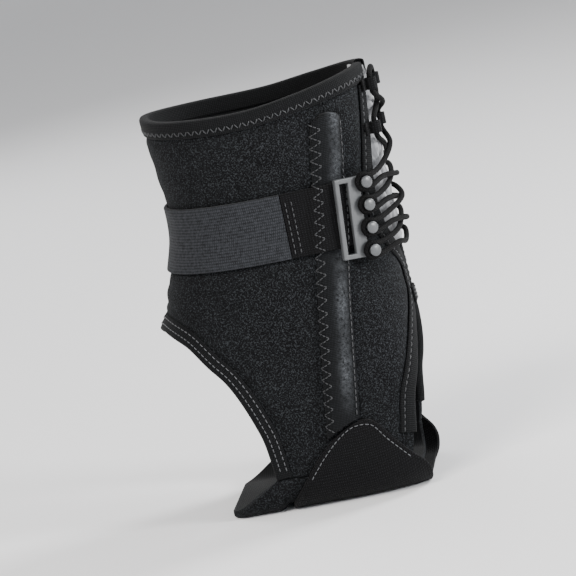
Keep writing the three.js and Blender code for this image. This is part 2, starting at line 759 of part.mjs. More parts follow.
function lacingPlate() {
  const half = PLATE_HEIGHT / 2;
  const bar = PLATE_BAR / 2;
  const edge = PEG_X - PEG_HEAD_RADIUS / 2;
  const outline = new THREE.Shape();
  outline.moveTo(-bar, -half);
  outline.lineTo(edge, -half);
  for (let k = PEG_COUNT - 1; k >= 0; k -= 1) {
    outline.absarc(edge, pegY(k), PEG_HEAD_RADIUS * 1.1, -Math.PI / 2, Math.PI / 2, false);
  }
  outline.lineTo(edge, half);
  outline.lineTo(-bar, half);
  const slot = new THREE.Path();
  const reach = half - PLATE_BAR;
  slot.moveTo(bar, -reach);
  slot.lineTo(bar, reach);
  slot.lineTo(bar + PLATE_SLOT, reach);
  slot.lineTo(bar + PLATE_SLOT, -reach);
  outline.holes.push(slot);
  const body = new THREE.ExtrudeGeometry(outline, {
    depth: PLATE_WALL,
    curveSegments: 5,
    bevelEnabled: false,
  });
  let plate = toSolid(body);
  const neckTop = PLATE_WALL + PEG_NECK;
  const headTop = neckTop + PEG_HEAD_WALL;
  const profile = [
    new THREE.Vector2(0, PLATE_WALL / 2),
    new THREE.Vector2(PEG_RADIUS, PLATE_WALL / 2),
    new THREE.Vector2(PEG_RADIUS, neckTop),
    new THREE.Vector2(PEG_HEAD_RADIUS, neckTop + 0.2),
    new THREE.Vector2(PEG_HEAD_RADIUS, headTop - 0.7),
    new THREE.Vector2(PEG_HEAD_RADIUS * 0.7, headTop),
    new THREE.Vector2(0, headTop),
  ];
  for (let k = 0; k < PEG_COUNT; k += 1) {
    const peg = new THREE.LatheGeometry(profile, 10);
    peg.rotateX(Math.PI / 2);
    peg.translate(PEG_X, pegY(k), 0);
    plate = plate.add(toSolid(peg));
  }
  const geometry = toGeometry(plate);
  geometry.applyMatrix4(plateFrame());
  return geometry;
}

// Frame of the near plate: it lies along a chord of the form, over the end of the strap tab,
// and leans back at the top
function plateFrame() {
  const z = PLATE_CENTRE;
  const layers = channelLift(0, z) + 2.4 * LAYER_GAP + STRAP_WALL;
  const front = skin(angleAt(PLATE_FRONT_X, z), z, layers);
  const back = skin(angleAt(PLATE_BACK_X, z), z, layers - CHANNEL_PRESSED / 2);
  const along = back.clone().sub(front).setZ(0).normalize();
  const up = new THREE.Vector3(0, 0, 1);
  const out = new THREE.Vector3().crossVectors(along, up).normalize();
  const frame = new THREE.Matrix4().makeBasis(along, up, out);
  frame.setPosition(front);
  return frame.multiply(new THREE.Matrix4().makeRotationZ(-degToRad(PLATE_LEAN)));
}

// Webbing eyes for the lace on the panels' back edges: a short strip with a round eye
const EYE_RADIUS = LACE_RADIUS + 0.7;
const EYE_OUTER = EYE_RADIUS + EYE_WALL;
const EYE_STRIP = 6;

function eyeFrame(z) {
  const lift = LAYER_GAP + BINDING_WALL + LAYER_GAP;
  const angle = backEdgeAngle(z);
  const origin = skin(angle, z, lift);
  const out = skin(angle, z, lift + 1).sub(origin).setZ(0).normalize();
  const down = new THREE.Vector3(0, 0, -1);
  const back = new THREE.Vector3().crossVectors(out, down);
  const frame = new THREE.Matrix4().makeBasis(back, out, down);
  frame.setPosition(origin);
  return frame;
}

function laceEye(z) {
  const sink = Math.asin((EYE_OUTER - EYE_WALL) / EYE_OUTER);
  const outline = new THREE.Shape();
  outline.moveTo(-EYE_STRIP, 0);
  outline.lineTo(0, 0);
  outline.absarc(0, EYE_OUTER, EYE_OUTER, -Math.PI / 2, Math.PI + sink, false);
  outline.lineTo(-EYE_STRIP, EYE_WALL);
  const eye = new THREE.Path();
  eye.absarc(0, EYE_OUTER, EYE_RADIUS, 0, 2 * Math.PI, true);
  outline.holes.push(eye);
  const geometry = new THREE.ExtrudeGeometry(outline, {
    depth: EYE_HEIGHT,
    curveSegments: 6,
    bevelEnabled: false,
  });
  geometry.translate(0, 0, -EYE_HEIGHT / 2);
  geometry.applyMatrix4(eyeFrame(z));
  return toGeometry(toSolid(geometry));
}

// Lace: one strand goes down from the near upper eye, changing side at each crossing, and the
// other is its mirror image; they join at the top and below the last pegs
const flipped = (point, side) => new THREE.Vector3(point.x, side * point.y, point.z);

function eyeStretch(z, side) {
  const half = EYE_HEIGHT / 2 + 1;
  const axis = new THREE.Vector3(0, EYE_OUTER, 0);
  return [-half, 0, half].map((drop) => {
    const point = axis.clone().setZ(drop).applyMatrix4(eyeFrame(z));
    return flipped(point, side);
  });
}

function pegTurn(k, side) {
  const turn = PEG_RADIUS + LACE_RADIUS + 0.8;
  const height = PLATE_WALL + PEG_NECK / 2;
  return [50, 115, 180, 245, 310].map((degrees) => {
    const a = degToRad(degrees);
    const point = new THREE.Vector3(PEG_X + turn * Math.cos(a), pegY(k) + turn * Math.sin(a), height);
    return flipped(point.applyMatrix4(plateFrame()), side);
  });
}

// Middle of a crossing, over or under the other strand
function crossing(z, over) {
  const under = GUSSET_BULGE + LAYER_GAP + LACE_RADIUS;
  return [skin(Math.PI, z, under + (over ? 2 * LACE_RADIUS + LAYER_GAP : 0))];
}

// Where a strand leaves the plate and bends round the back
function shoulder(z, side) {
  const lift = GUSSET_BULGE + 4 * LAYER_GAP + LACE_RADIUS;
  const angle = lerp(backEdgeAngle(PLATE_CENTRE), Math.PI, 0.12);
  return [flipped(skin(angle, z, lift), side)];
}

function strand(start, over) {
  const pegs = Array.from({ length: PEG_COUNT }, (_, k) => PLATE_CENTRE + pegY(k));
  const points = [...eyeStretch(UPPER_EYE, start)];
  points.push(...crossing((UPPER_EYE + LOWER_EYE) / 2, over));
  points.push(...eyeStretch(LOWER_EYE, -start));
  points.push(...crossing((LOWER_EYE + pegs[0]) / 2, over));
  let side = start;
  for (let k = 0; k < PEG_COUNT; k += 1) {
    points.push(...shoulder(pegs[k] + PEG_PITCH / 4, side));
    points.push(...pegTurn(k, side));
    points.push(...shoulder(pegs[k] - PEG_PITCH / 4, side));
    if (k < PEG_COUNT - 1) {
      points.push(...crossing(pegs[k] - PEG_PITCH / 2, over));
    }
    side = -side;
  }
  return points;
}

function lace() {
  const lastPeg = PLATE_CENTRE + pegY(PEG_COUNT - 1);
  const route = [
    ...strand(1, true),
    ...crossing(lastPeg - PEG_PITCH / 2, false),
    ...strand(-1, false).reverse(),
    ...crossing(UPPER_EYE + EYE_HEIGHT + LACE_RADIUS, false),
  ];
  const curve = new THREE.CatmullRomCurve3(route, true, 'centripetal');
  return new THREE.TubeGeometry(curve, 150, LACE_RADIUS, 8, true);
}

// Materials
const material = (color, roughness) => new THREE.MeshStandardMaterial({ color, roughness, metalness: 0 });
const laminate = material('#202326', 0.95);
const tape = material('#17181a', 0.9);
const elastic = material('#45484b', 0.9);
const webbing = material('#1b1c1f', 0.85);
const plastic = material('#8d8f92', 0.4);
const tongue = material('#b9babd', 0.8);
const cord = material('#111112', 0.8);

// Assembly
const brace = new THREE.Group();

function add(name, geometry, finish) {
  const mesh = new THREE.Mesh(geometry, finish);
  mesh.name = name;
  brace.add(mesh);
}

function addPair(name, geometry, finish, ending = '') {
  add(`${name}_near${ending}`, geometry, finish);
  add(`${name}_far${ending}`, mirrored(geometry), finish);
}

add('front_panel', frontPanel(), laminate);
addPair('rear_panel', rearPanel(), laminate);
add('sole_panel', solePanel(), laminate);
add('foot_strap', footStrap(), webbing);
addPair('stay_channel', stayChannel(), tape);
add('top_binding', topBinding(), tape);
add('foot_opening_binding', footOpeningBinding(), tape);
addPair('back_binding', backBinding(), tape);
add('elastic_strap', elasticStrap(), elastic);
addPair('strap_tab', strapTab(), webbing);
addPair('lacing_plate', lacingPlate(), plastic);
addPair('lace_loop', laceEye(UPPER_EYE), webbing, '_upper');
addPair('lace_loop', laceEye(LOWER_EYE), webbing, '_lower');
add('heel_seam_tack', seamTack(), webbing);
add('lace_gusset', laceGusset(), tongue);
add('lace', lace(), cord);

// The origin is on the floor, under the middle of the brace
const box = new THREE.Box3().setFromObject(brace);
brace.position.x = -(box.min.x + box.max.x) / 2;

export default brace;
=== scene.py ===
import bpy
import numpy as np
from mathutils import Matrix, Vector


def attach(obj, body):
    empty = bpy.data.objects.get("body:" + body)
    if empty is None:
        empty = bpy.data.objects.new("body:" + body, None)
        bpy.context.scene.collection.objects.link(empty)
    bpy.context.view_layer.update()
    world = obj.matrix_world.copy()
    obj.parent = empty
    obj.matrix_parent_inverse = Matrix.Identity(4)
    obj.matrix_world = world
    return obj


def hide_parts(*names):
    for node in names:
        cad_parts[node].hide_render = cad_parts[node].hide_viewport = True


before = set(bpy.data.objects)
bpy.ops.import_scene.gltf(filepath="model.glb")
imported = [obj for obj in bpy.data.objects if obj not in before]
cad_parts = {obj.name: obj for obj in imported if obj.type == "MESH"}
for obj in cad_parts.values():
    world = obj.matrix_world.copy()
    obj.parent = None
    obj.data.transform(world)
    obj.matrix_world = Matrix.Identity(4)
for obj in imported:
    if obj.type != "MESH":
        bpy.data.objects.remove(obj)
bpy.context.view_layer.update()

# Camera: a long lens a little to the heel side of square and slightly above, rolled so that
# the sole rises towards the heel.
AZIMUTH = np.radians(8)
ELEVATION = np.radians(10)
ROLL = np.radians(12.4)
DISTANCE = 1.45
LENS = 205
AIM = Vector((0.0, 0.0, 0.0925))

toward = Vector((
    np.sin(AZIMUTH) * np.cos(ELEVATION), -np.cos(AZIMUTH) * np.cos(ELEVATION), np.sin(ELEVATION),
))
camera = bpy.data.objects.new("camera", bpy.data.cameras.new("camera"))
camera.data.lens = LENS
camera.data.clip_start = 0.02
camera.data.clip_end = 30
camera.matrix_world = (
    Matrix.Translation(AIM + DISTANCE * toward)
    @ toward.to_track_quat("Z", "Y").to_matrix().to_4x4()
    @ Matrix.Rotation(-ROLL, 4, "Z")
)
bpy.context.scene.collection.objects.link(camera)
bpy.context.scene.camera = camera


# Floor: pale matt studio paper that lies flat under the brace and sweeps up far away, all
# round, so no horizon shows.
FLOOR_FLAT = 3.0
FLOOR_SWEEP = 2.2


def linear(code):
    """An sRGB hex code as linear red, green, blue and alpha."""
    share = np.array([int(code[i:i + 2], 16) for i in (1, 3, 5)]) / 255
    light = np.where(share <= 0.04045, share / 12.92, ((share + 0.055) / 1.055) ** 2.4)
    return (*light.tolist(), 1.0)


def link_inputs(tree, node, links):
    """Feeds a node's inputs: links give (node, output) for each input."""
    for key, (source, output) in links.items():
        tree.links.new(source.outputs[output], node.inputs[key])


def add_node(tree, kind, settings, links=None):
    """One shader node: settings name its properties or inputs, links feed its other inputs."""
    node = tree.nodes.new("ShaderNode" + kind)
    for key, value in settings.items():
        if isinstance(key, str) and hasattr(node, key):
            setattr(node, key, value)
        else:
            node.inputs[key].default_value = value
    link_inputs(tree, node, links or {})
    return node


def new_finish(name, colour, settings):
    """A material with one Principled shader: returns it, its node tree and the shader."""
    finish = bpy.data.materials.new(name)
    finish.use_nodes = True
    tree = finish.node_tree
    shader = tree.nodes["Principled BSDF"]
    shader.inputs["Base Color"].default_value = linear(colour)
    for key, value in settings.items():
        shader.inputs[key].default_value = value
    return finish, tree, shader


def new_mesh(name, corners, faces, finishes, uv=None, pick=None):
    """A smooth object of four-sided faces; uv is given per corner point, pick per face."""
    mesh = bpy.data.meshes.new(name)
    mesh.vertices.add(len(corners))
    mesh.vertices.foreach_set("co", np.asarray(corners, np.float32).ravel())
    mesh.loops.add(faces.size)
    mesh.loops.foreach_set("vertex_index", np.asarray(faces, np.int32).ravel())
    mesh.polygons.add(len(faces))
    mesh.polygons.foreach_set("loop_start", np.arange(0, faces.size, 4, dtype=np.int32))
    mesh.polygons.foreach_set("use_smooth", np.ones(len(faces), bool))
    for finish in finishes:
        mesh.materials.append(finish)
    if pick is not None:
        mesh.polygons.foreach_set("material_index", np.asarray(pick, np.int32))
    if uv is not None:
        layer = mesh.uv_layers.new(name="millimetres")
        layer.data.foreach_set("uv", np.asarray(uv, np.float32)[faces.ravel()].ravel())
    mesh.update(calc_edges=True)
    mesh.validate()
    piece = bpy.data.objects.new(name, mesh)
    bpy.context.scene.collection.objects.link(piece)
    return piece


def grid_faces(rows, columns, start=0):
    """The four-sided faces of a grid of points, counted row by row from start."""
    j, i = np.meshgrid(np.arange(rows - 1), np.arange(columns - 1), indexing="ij")
    a = start + (j * columns + i).ravel()
    return np.stack([a, a + 1, a + columns + 1, a + columns], axis=1)


def floor_sheet():
    """A disc to FLOOR_FLAT, then a quarter circle upwards, turned once round the upright."""
    flat = np.linspace(0.001, FLOOR_FLAT, 12)
    sweep = np.linspace(0, np.pi / 2, 14)[1:]
    radius = np.concatenate([flat, FLOOR_FLAT + FLOOR_SWEEP * np.sin(sweep)])
    height = np.concatenate([0 * flat, FLOOR_SWEEP * (1 - np.cos(sweep))])
    turn = np.linspace(0, 2 * np.pi, 97)
    corners = np.stack(np.broadcast_arrays(
        radius[:, None] * np.cos(turn), radius[:, None] * np.sin(turn), height[:, None],
    ), axis=-1)
    return corners.reshape(-1, 3), grid_faces(len(radius), len(turn))[:, ::-1]


PAPER = new_finish("matt_paper", "#eeeeef", {"Roughness": 0.9})[0]
floor = new_mesh("floor", *floor_sheet(), [PAPER])


# Lights: a broad soft key from the toe side, a wide fill, and two smaller ones on the heel side
# that draw the rims of the plates and the crown of the stay channel.
def soft_light(name, place, size, power, colour):
    """A square area light at a place, turned to the middle of the brace."""
    light = bpy.data.lights.new(name, "AREA")
    light.size = size
    light.energy = power
    light.color = linear(colour)[:3]
    lamp = bpy.data.objects.new(name, light)
    turned = (Vector(place) - AIM).to_track_quat("Z", "Y").to_matrix().to_4x4()
    lamp.matrix_world = Matrix.Translation(place) @ turned
    bpy.context.scene.collection.objects.link(lamp)


soft_light("key", (-0.5, -0.95, 1.1), 0.6, 19, "#fffaf4")
soft_light("fill", (0.5, -1.2, 0.35), 1.0, 4, "#f4f8ff")
soft_light("rim", (0.9, 0.55, 0.75), 0.4, 16, "#ffffff")
soft_light("ridge", (1.05, -0.5, 0.42), 0.25, 15, "#ffffff")
soft_light("far_side", (-0.7, 1.0, 0.8), 1.0, 9, "#ffffff")
world = bpy.data.worlds.new("studio")
world.use_nodes = True
sky = world.node_tree.nodes["Background"]
sky.inputs["Color"].default_value = linear("#f2f3f5")
sky.inputs["Strength"].default_value = 0.62
bpy.context.scene.world = world


# Front panel: one piece of soft laminate, knitted fleece outside, 3 mm foam and a smooth nylon
# lining, cut out for the foot opening and sewn to the rear panels under the stay channels.

# Lengths are in millimetres from the form's upright axis, which lies AXIS_SHIFT behind the
# middle of the brace. TURN_LENGTH is about the length of one radian round the form.
AXIS_SHIFT = 3.7752
HEIGHT = 186
ANKLE_DEPTH = 96
ANKLE_WIDTH = 73
TURN_LENGTH = ANKLE_DEPTH / 2
PANEL_WALL = 3.2
SEAM_GAP = 0.3
LAYER_GAP = 0.5
BINDING_WIDTH = 6.5
BINDING_WALL = 0.9
SOLE_BASE = 2.7
SOLE_CORNER = 13
PANEL_FOOT = SOLE_BASE + SOLE_CORNER + SEAM_GAP
CHANNEL_FOOT_X = 6.9
CHANNEL_LEAN = 0.147
STRAP_WIDTH = 28.5
STRAP_CENTRE = 125.5
STRAP_LOW = STRAP_CENTRE - STRAP_WIDTH / 2
STRAP_HIGH = STRAP_CENTRE + STRAP_WIDTH / 2
FOAM_SWELL = 0.32
STRAP_DENT = -0.15
EDGE_DENT = -0.9

# Form of the panels: height share, front reach, back reach, half width, squareness
SECTIONS = np.array([
    [0.000, 1.156, 0.562, 0.502, 3.20],
    [0.084, 1.156, 0.562, 0.507, 3.20],
    [0.161, 1.104, 0.552, 0.527, 3.00],
    [0.269, 1.000, 0.542, 0.541, 2.70],
    [0.376, 0.812, 0.526, 0.562, 2.50],
    [0.462, 0.656, 0.516, 0.568, 2.40],
    [0.511, 0.604, 0.513, 0.548, 2.35],
    [0.565, 0.568, 0.511, 0.523, 2.30],
    [0.618, 0.531, 0.510, 0.507, 2.28],
    [0.677, 0.500, 0.510, 0.500, 2.25],
    [0.753, 0.495, 0.505, 0.504, 2.25],
    [0.860, 0.516, 0.510, 0.527, 2.22],
    [1.000, 0.542, 0.516, 0.555, 2.20],
])
# Rim: turn share from the front to the back, height share
RIM = np.array([
    [0.00, 0.971], [0.25, 0.960], [0.50, 0.958], [0.69, 0.973], [0.83, 0.988], [0.92, 0.995],
    [1.00, 1.000],
])
# Foot opening from the instep down to the arch: reach share, height share
FOOT_OPENING = np.array([
    [0.611, 0.471], [0.505, 0.441], [0.404, 0.378], [0.329, 0.324], [0.255, 0.226],
    [0.229, 0.169],
])
INSTEP_HEIGHT = 0.4645
ARCH_REACH = 0.216


def lerp(start, end, share):
    return start + (end - start) * share


def smoothstep(value, low, high):
    share = np.clip((value - low) / (high - low), 0, 1)
    return share * share * (3 - 2 * share)


def hermite(start, end, leave, arrive, t):
    """The cubic from start to end with the slopes leave and arrive, at shares t."""
    rise = end - start
    return (
        start + leave * t + (3 * rise - 2 * leave - arrive) * t ** 2
        + (leave + arrive - 2 * rise) * t ** 3
    )


def table_value(rows, column, place):
    """A smooth curve through a table: cubic pieces that leave each row at its neighbours' slope."""
    along, value = rows[:, 0], rows[:, column]
    last = len(rows) - 1
    index = np.arange(last + 1)
    before, after = np.maximum(index - 1, 0), np.minimum(index + 1, last)
    slope = (value[after] - value[before]) / (along[after] - along[before])
    x = np.clip(place, along[0], along[last])
    i = np.clip(np.searchsorted(along, x) - 1, 0, last - 1)
    span = along[i + 1] - along[i]
    t = (x - along[i]) / span
    return hermite(value[i], value[i + 1], slope[i] * span, slope[i + 1] * span, t)


def section_at(z):
    """Front reach, back reach, half width and squareness of the form at a height."""
    share = np.asarray(z, float) / HEIGHT
    front, back, half, square = (table_value(SECTIONS, column, share) for column in (1, 2, 3, 4))
    return ANKLE_DEPTH * front, ANKLE_DEPTH * back, ANKLE_WIDTH * half, square


def form_point(angle, z):
    """A superellipse whose front and back reach differ, 0 at the front and pi at the back."""
    angle, z = np.broadcast_arrays(np.asarray(angle, float), np.asarray(z, float))
    front, back, half, square = section_at(z)
    c, s = np.cos(angle), np.sin(angle)
    reach = np.where(c > 0, front, back)
    radius = (np.abs(c / reach) ** square + np.abs(s / half) ** square) ** (-1 / square)
    return np.stack([-radius * c, -radius * s, z], axis=-1)


def unit(vectors):
    return vectors / np.linalg.norm(vectors, axis=-1, keepdims=True)


def skin(angle, z, lift):
    """The form's surface raised by lift along its normal, which comes from small differences."""
    around = form_point(angle + 0.02, z) - form_point(angle - 0.02, z)
    up = form_point(angle, z + 1) - form_point(angle, z - 1)
    return form_point(angle, z) + unit(np.cross(around, up)) * np.asarray(lift, float)[..., None]


def side_y(x, z):
    """Half width of the form at a place along it."""
    front, back, half, square = section_at(z)
    ratio = np.minimum(np.abs(x) / np.where(x < 0, front, back), 1)
    return half * (1 - ratio ** square) ** (1 / square)


def angle_at(x, z):
    return np.arctan2(side_y(x, z), -x)


def seam_angle(z, side):
    """The side seam, which leans towards the heel; side is -1 in front of it and 1 behind."""
    return angle_at(CHANNEL_FOOT_X + CHANNEL_LEAN * z + side * SEAM_GAP / 2, z)


def panel_rim(angle):
    turn = np.abs(angle) / np.pi
    return HEIGHT * table_value(RIM, 1, turn) - BINDING_WALL - SEAM_GAP


def steps_along(points):
    """Lengths of the steps between the points of a line."""
    return np.linalg.norm(np.diff(points, axis=0), axis=1)


def lengths_along(points):
    """Length from the start of a line to each of its points."""
    return np.concatenate([[0], np.cumsum(steps_along(points))])


def even_places(points, count):
    """Points at even steps along a line of points."""
    length = lengths_along(points)
    place = np.linspace(0, length[-1], count)
    return np.stack([np.interp(place, length, column) for column in points.T], axis=1)


def foot_opening_stations(count):
    """Places (angle, z) on a Catmull-Rom curve from the far arch over the instep to the near."""
    heights = HEIGHT * FOOT_OPENING[:, 1]
    reaches = -ANKLE_DEPTH * FOOT_OPENING[:, 0]
    side = np.stack([TURN_LENGTH * angle_at(reaches, heights), heights], 1)
    arch = TURN_LENGTH * angle_at(-ANKLE_DEPTH * ARCH_REACH, PANEL_FOOT)
    side = np.vstack([side, [arch, PANEL_FOOT]])
    knots = np.vstack([side[::-1] * (-1, 1), [0, HEIGHT * INSTEP_HEIGHT], side])
    ends = np.vstack([knots[:1], knots, knots[-1:]])
    t = np.linspace(0, 1, 24, endpoint=False)[None, :, None]
    p0, p1, p2, p3 = (ends[k:len(ends) - 3 + k, None, :] for k in range(4))
    curve = hermite(p1, p2, (p2 - p0) / 2, (p3 - p1) / 2, t)
    curve = np.vstack([curve.reshape(-1, 2), knots[-1:]])
    return even_places(curve, count) / (TURN_LENGTH, 1)


def in_frame(points):
    """Points in millimetres from the form's axis, as metres from the middle of the brace."""
    return (points.reshape(-1, 3) + (AXIS_SHIFT, 0, 0)) / 1000


def outward(corners, faces):
    """The faces of a closed skin, turned round if the volume inside them comes out negative."""
    a, b, c, d = (corners[faces[:, k]] for k in range(4))
    volume = np.sum(np.cross(c - a, d - b) * (a + b + c + d))
    return faces[:, ::-1] if volume < 0 else faces


def shell(name, outer, inner, finishes, uv, lining=False):
    """A closed skin of an outer and an inner grid of points, joined at their four edges."""
    rows, columns = outer.shape[:2]
    count = rows * columns
    corners = np.concatenate([outer.reshape(-1, 3), inner.reshape(-1, 3)])
    top = grid_faces(rows, columns)
    under = grid_faces(rows, columns, count)[:, ::-1]
    i, j = np.arange(columns - 1), np.arange(rows - 1) * columns
    last_row, last = (rows - 1) * columns, columns - 1
    low = np.stack([count + i, count + i + 1, i + 1, i], 1)
    high = np.stack([i, i + 1, count + i + 1, count + i], 1) + last_row
    near = np.stack([count + j, j, j + columns, count + j + columns], 1)
    far = np.stack([j, count + j, count + j + columns, j + columns], 1) + last
    faces = np.concatenate([top, under, low, high, near, far])
    faces = outward(corners, faces)
    pick = np.zeros(len(faces), int)
    if lining:
        pick[len(top):2 * len(top)] = 1
    both_uv = np.concatenate([uv.reshape(-1, 2), uv.reshape(-1, 2)])
    return new_mesh(name, in_frame(corners), faces, finishes, both_uv, pick)


def nearest(points, line):
    """Distance from each point to a line of points."""
    flat = points.reshape(-1, 1, 3).astype(np.float32)
    distance = np.linalg.norm(flat - line[None].astype(np.float32), axis=2).min(axis=1)
    return distance.reshape(points.shape[:-1]).astype(float)


def pressed(z):
    """1 under the elastic strap, easing to 0 past its edges."""
    above_low = smoothstep(z, STRAP_LOW - 3, STRAP_LOW + 1)
    return above_low * (1 - smoothstep(z, STRAP_HIGH - 1, STRAP_HIGH + 3))


def padding(angle, z, edge):
    """Swell of the foam: proud between seams, drawn in at bound edges and under the strap.

    A soft ripple, creases above the instep and above the strap, and puckers beside the edges
    are sines of the angle and the height, each faded by smooth steps.
    """
    turn = np.abs(angle)
    ripple = 0.10 * np.sin(9 * angle + 0.11 * z) * np.sin(0.16 * z - 3 * angle)
    ripple = ripple + 0.05 * np.sin(0.5 * z + 14 * angle)
    low_front = smoothstep(z, 78, 92) * (1 - smoothstep(z, 101, 108))
    low_front = low_front * (1 - smoothstep(turn, 0.95, 1.25))
    ripple = ripple + 0.42 * low_front * np.sin(0.75 * z + 2.6 * turn + 0.8 * np.sin(3 * turn))
    high_front = smoothstep(z, STRAP_HIGH + 2, STRAP_HIGH + 7) * (1 - smoothstep(z, 158, 168))
    high_front = high_front * (1 - smoothstep(turn, 1.0, 1.3))
    ripple = ripple + 0.2 * high_front * np.sin(0.42 * z + 3.1 * turn)
    pucker = 0.12 * np.sin(2.1 * z + 31 * angle) * np.exp(-((edge - 8) / 2.5) ** 2)
    swell = lerp(FOAM_SWELL + ripple + pucker, STRAP_DENT, pressed(z))
    return lerp(EDGE_DENT, swell, smoothstep(edge, 5.5, 11))


def arc_places(points):
    """Lengths along the rows and the columns of a grid of points, as UV in millimetres."""
    across = np.linalg.norm(np.diff(points, axis=1), axis=2).cumsum(axis=1)
    along = np.linalg.norm(np.diff(points, axis=0), axis=2).cumsum(axis=0)
    across = np.pad(across, ((0, 0), (1, 0)))
    along = np.pad(along, ((1, 0), (0, 0)))
    middle = slice(points.shape[1] // 2, points.shape[1] // 2 + 1)
    return np.stack([across - across[:, middle], along[:, middle] + 0 * across], axis=-1)


# Length of one wave of Blender's wave texture at scale 1, in the units of its coordinates
WAVE = 0.314


def laminate_finish():
    """Brushed polyester knit laminate, matt charcoal: its pale-tipped nap, drawn 0.7 mm coarse
    to show, reads as fine speckle, and soft clouds show where the nap lies over."""
    finish, tree, shader = new_finish("brushed_knit_laminate", "#0e0f10", {
        "Roughness": 0.93, "Sheen Weight": 0.04, "Sheen Roughness": 0.5, "Specular IOR Level": 0.1,
    })
    shader.inputs["Sheen Tint"].default_value = linear("#9da1a6")
    places = add_node(tree, "TexCoord", {})
    nap = add_node(
        tree, "TexNoise", {"Scale": 1500, "Detail": 3, "Roughness": 0.7},
        {"Vector": (places, "Object")},
    )
    loops = add_node(
        tree, "TexVoronoi", {"Scale": 1600, "Randomness": 0.8}, {"Vector": (places, "Object")},
    )
    clouds = add_node(
        tree, "TexNoise", {"Scale": 70, "Detail": 5, "Roughness": 0.6},
        {"Vector": (places, "Object")},
    )
    tips = add_node(tree, "MapRange", {"From Min": 0.49, "From Max": 0.72}, {"Value": (nap, "Fac")})
    body = add_node(
        tree, "Mix", {"data_type": "RGBA", 6: linear("#040405"), 7: linear("#0d0e0f")},
        {0: (clouds, "Fac")},
    )
    speckled = add_node(
        tree, "Mix", {"data_type": "RGBA", 7: linear("#36393c")},
        {0: (tips, "Result"), 6: (body, 2)},
    )
    pile = add_node(
        tree, "Math", {"operation": "SUBTRACT"}, {0: (nap, "Fac"), 1: (loops, "Distance")},
    )
    bump = add_node(
        tree, "Bump", {"Strength": 0.55, "Distance": 0.0004}, {"Height": (pile, "Value")},
    )
    link_inputs(tree, shader, {"Base Color": (speckled, 2), "Normal": (bump, "Normal")})
    return finish


def lining_finish():
    """Warp-knit nylon lining: smooth and nearly black, with upright wales drawn 1 mm apart."""
    finish, tree, shader = new_finish("warp_knit_lining", "#2b2d31", {
        "Roughness": 0.8, "Sheen Weight": 0.03, "Specular IOR Level": 0.15,
    })
    places = add_node(tree, "UVMap", {"uv_map": "millimetres"})
    wales = add_node(
        tree, "TexWave", {"bands_direction": "X", "Scale": WAVE, "Distortion": 0.3},
        {"Vector": (places, "UV")},
    )
    courses = add_node(
        tree, "TexWave", {"bands_direction": "Y", "Scale": 0.45, "Distortion": 0.5},
        {"Vector": (places, "UV")},
    )
    loops = add_node(
        tree, "Math", {"operation": "MULTIPLY"}, {0: (wales, "Fac"), 1: (courses, "Fac")},
    )
    colour = add_node(
        tree, "Mix", {"data_type": "RGBA", 6: linear("#08090a"), 7: linear("#151618")},
        {0: (loops, "Value")},
    )
    bump = add_node(
        tree, "Bump", {"Strength": 0.5, "Distance": 0.0002}, {"Height": (loops, "Value")},
    )
    link_inputs(tree, shader, {"Base Color": (colour, 2), "Normal": (bump, "Normal")})
    return finish


LAMINATE = laminate_finish()
LINING = lining_finish()


def front_places(columns, rows):
    """Places (angle, z) of the front panel: columns run from the foot edge up to the rim."""
    opening = foot_opening_stations(columns)
    corner = opening[-1]
    share = np.linspace(0, 1, 13)[1:, None]
    arch = lerp(corner, np.array([seam_angle(PANEL_FOOT, -1), PANEL_FOOT]), share)
    foot = np.vstack([arch[::-1] * (-1, 1), opening, arch])
    across = np.linspace(-1, 1, len(foot))
    low = foot[:, 0] / seam_angle(foot[:, 1], -1)
    rim = panel_rim(across * seam_angle(HEIGHT, -1))
    up = np.linspace(0, 1, rows)[:, None]
    z = lerp(foot[:, 1], rim, up)
    return lerp(low, across, up) * seam_angle(z, -1), z


def panel_shell(name, angle, z, edge_lines):
    """A panel with its foam swelling between edges and a smooth lining inside."""
    bare = form_point(angle, z)
    edge = np.min([nearest(bare, line) for line in edge_lines], axis=0)
    outer = skin(angle, z, padding(angle, z, edge))
    inner = skin(angle, z, -PANEL_WALL + 0.12 * np.sin(0.3 * z + 5 * angle))
    return shell(name, outer, inner, [LAMINATE, LINING], arc_places(bare), lining=True)


front_angle, front_z = front_places(170, 130)
foot_edge = form_point(*foot_opening_stations(260).T)
rim_turn = np.linspace(-np.pi, np.pi, 400)
rim_edge = form_point(rim_turn, panel_rim(rim_turn))
front_panel = panel_shell("front_panel_cloth", front_angle, front_z, [foot_edge, rim_edge])
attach(front_panel, "root")
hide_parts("front_panel")


# Rear panels: the same laminate from the side seam back to the laced gap, cut away for the
# heel opening and joined by a short seam between the gap and that opening.
HEEL_OPENING_TOP = 84
HEEL_OPENING_HALF = 32.3
LACE_GAP_FOOT = 96
LACE_GAP_HALF = 17.5
BACK_SEAM_HALF = 1.55

# Heel opening: height share, half width share
HEEL_OPENING = np.array([
    [0.18, 1.000], [0.34, 0.950], [0.49, 0.867], [0.60, 0.728], [0.71, 0.567], [0.80, 0.409],
    [0.86, 0.272], [0.91, 0.161], [0.95, 0.082], [1.00, 0.048],
])
# Laced gap: height share, half width share
LACE_GAP = np.array([
    [0.00, 0.089], [0.03, 0.194], [0.08, 0.411], [0.13, 0.663], [0.20, 0.869], [0.27, 0.983],
    [0.34, 1.000], [0.43, 0.943], [0.54, 0.811], [0.66, 0.674], [0.77, 0.543], [0.88, 0.429],
    [1.00, 0.343],
])


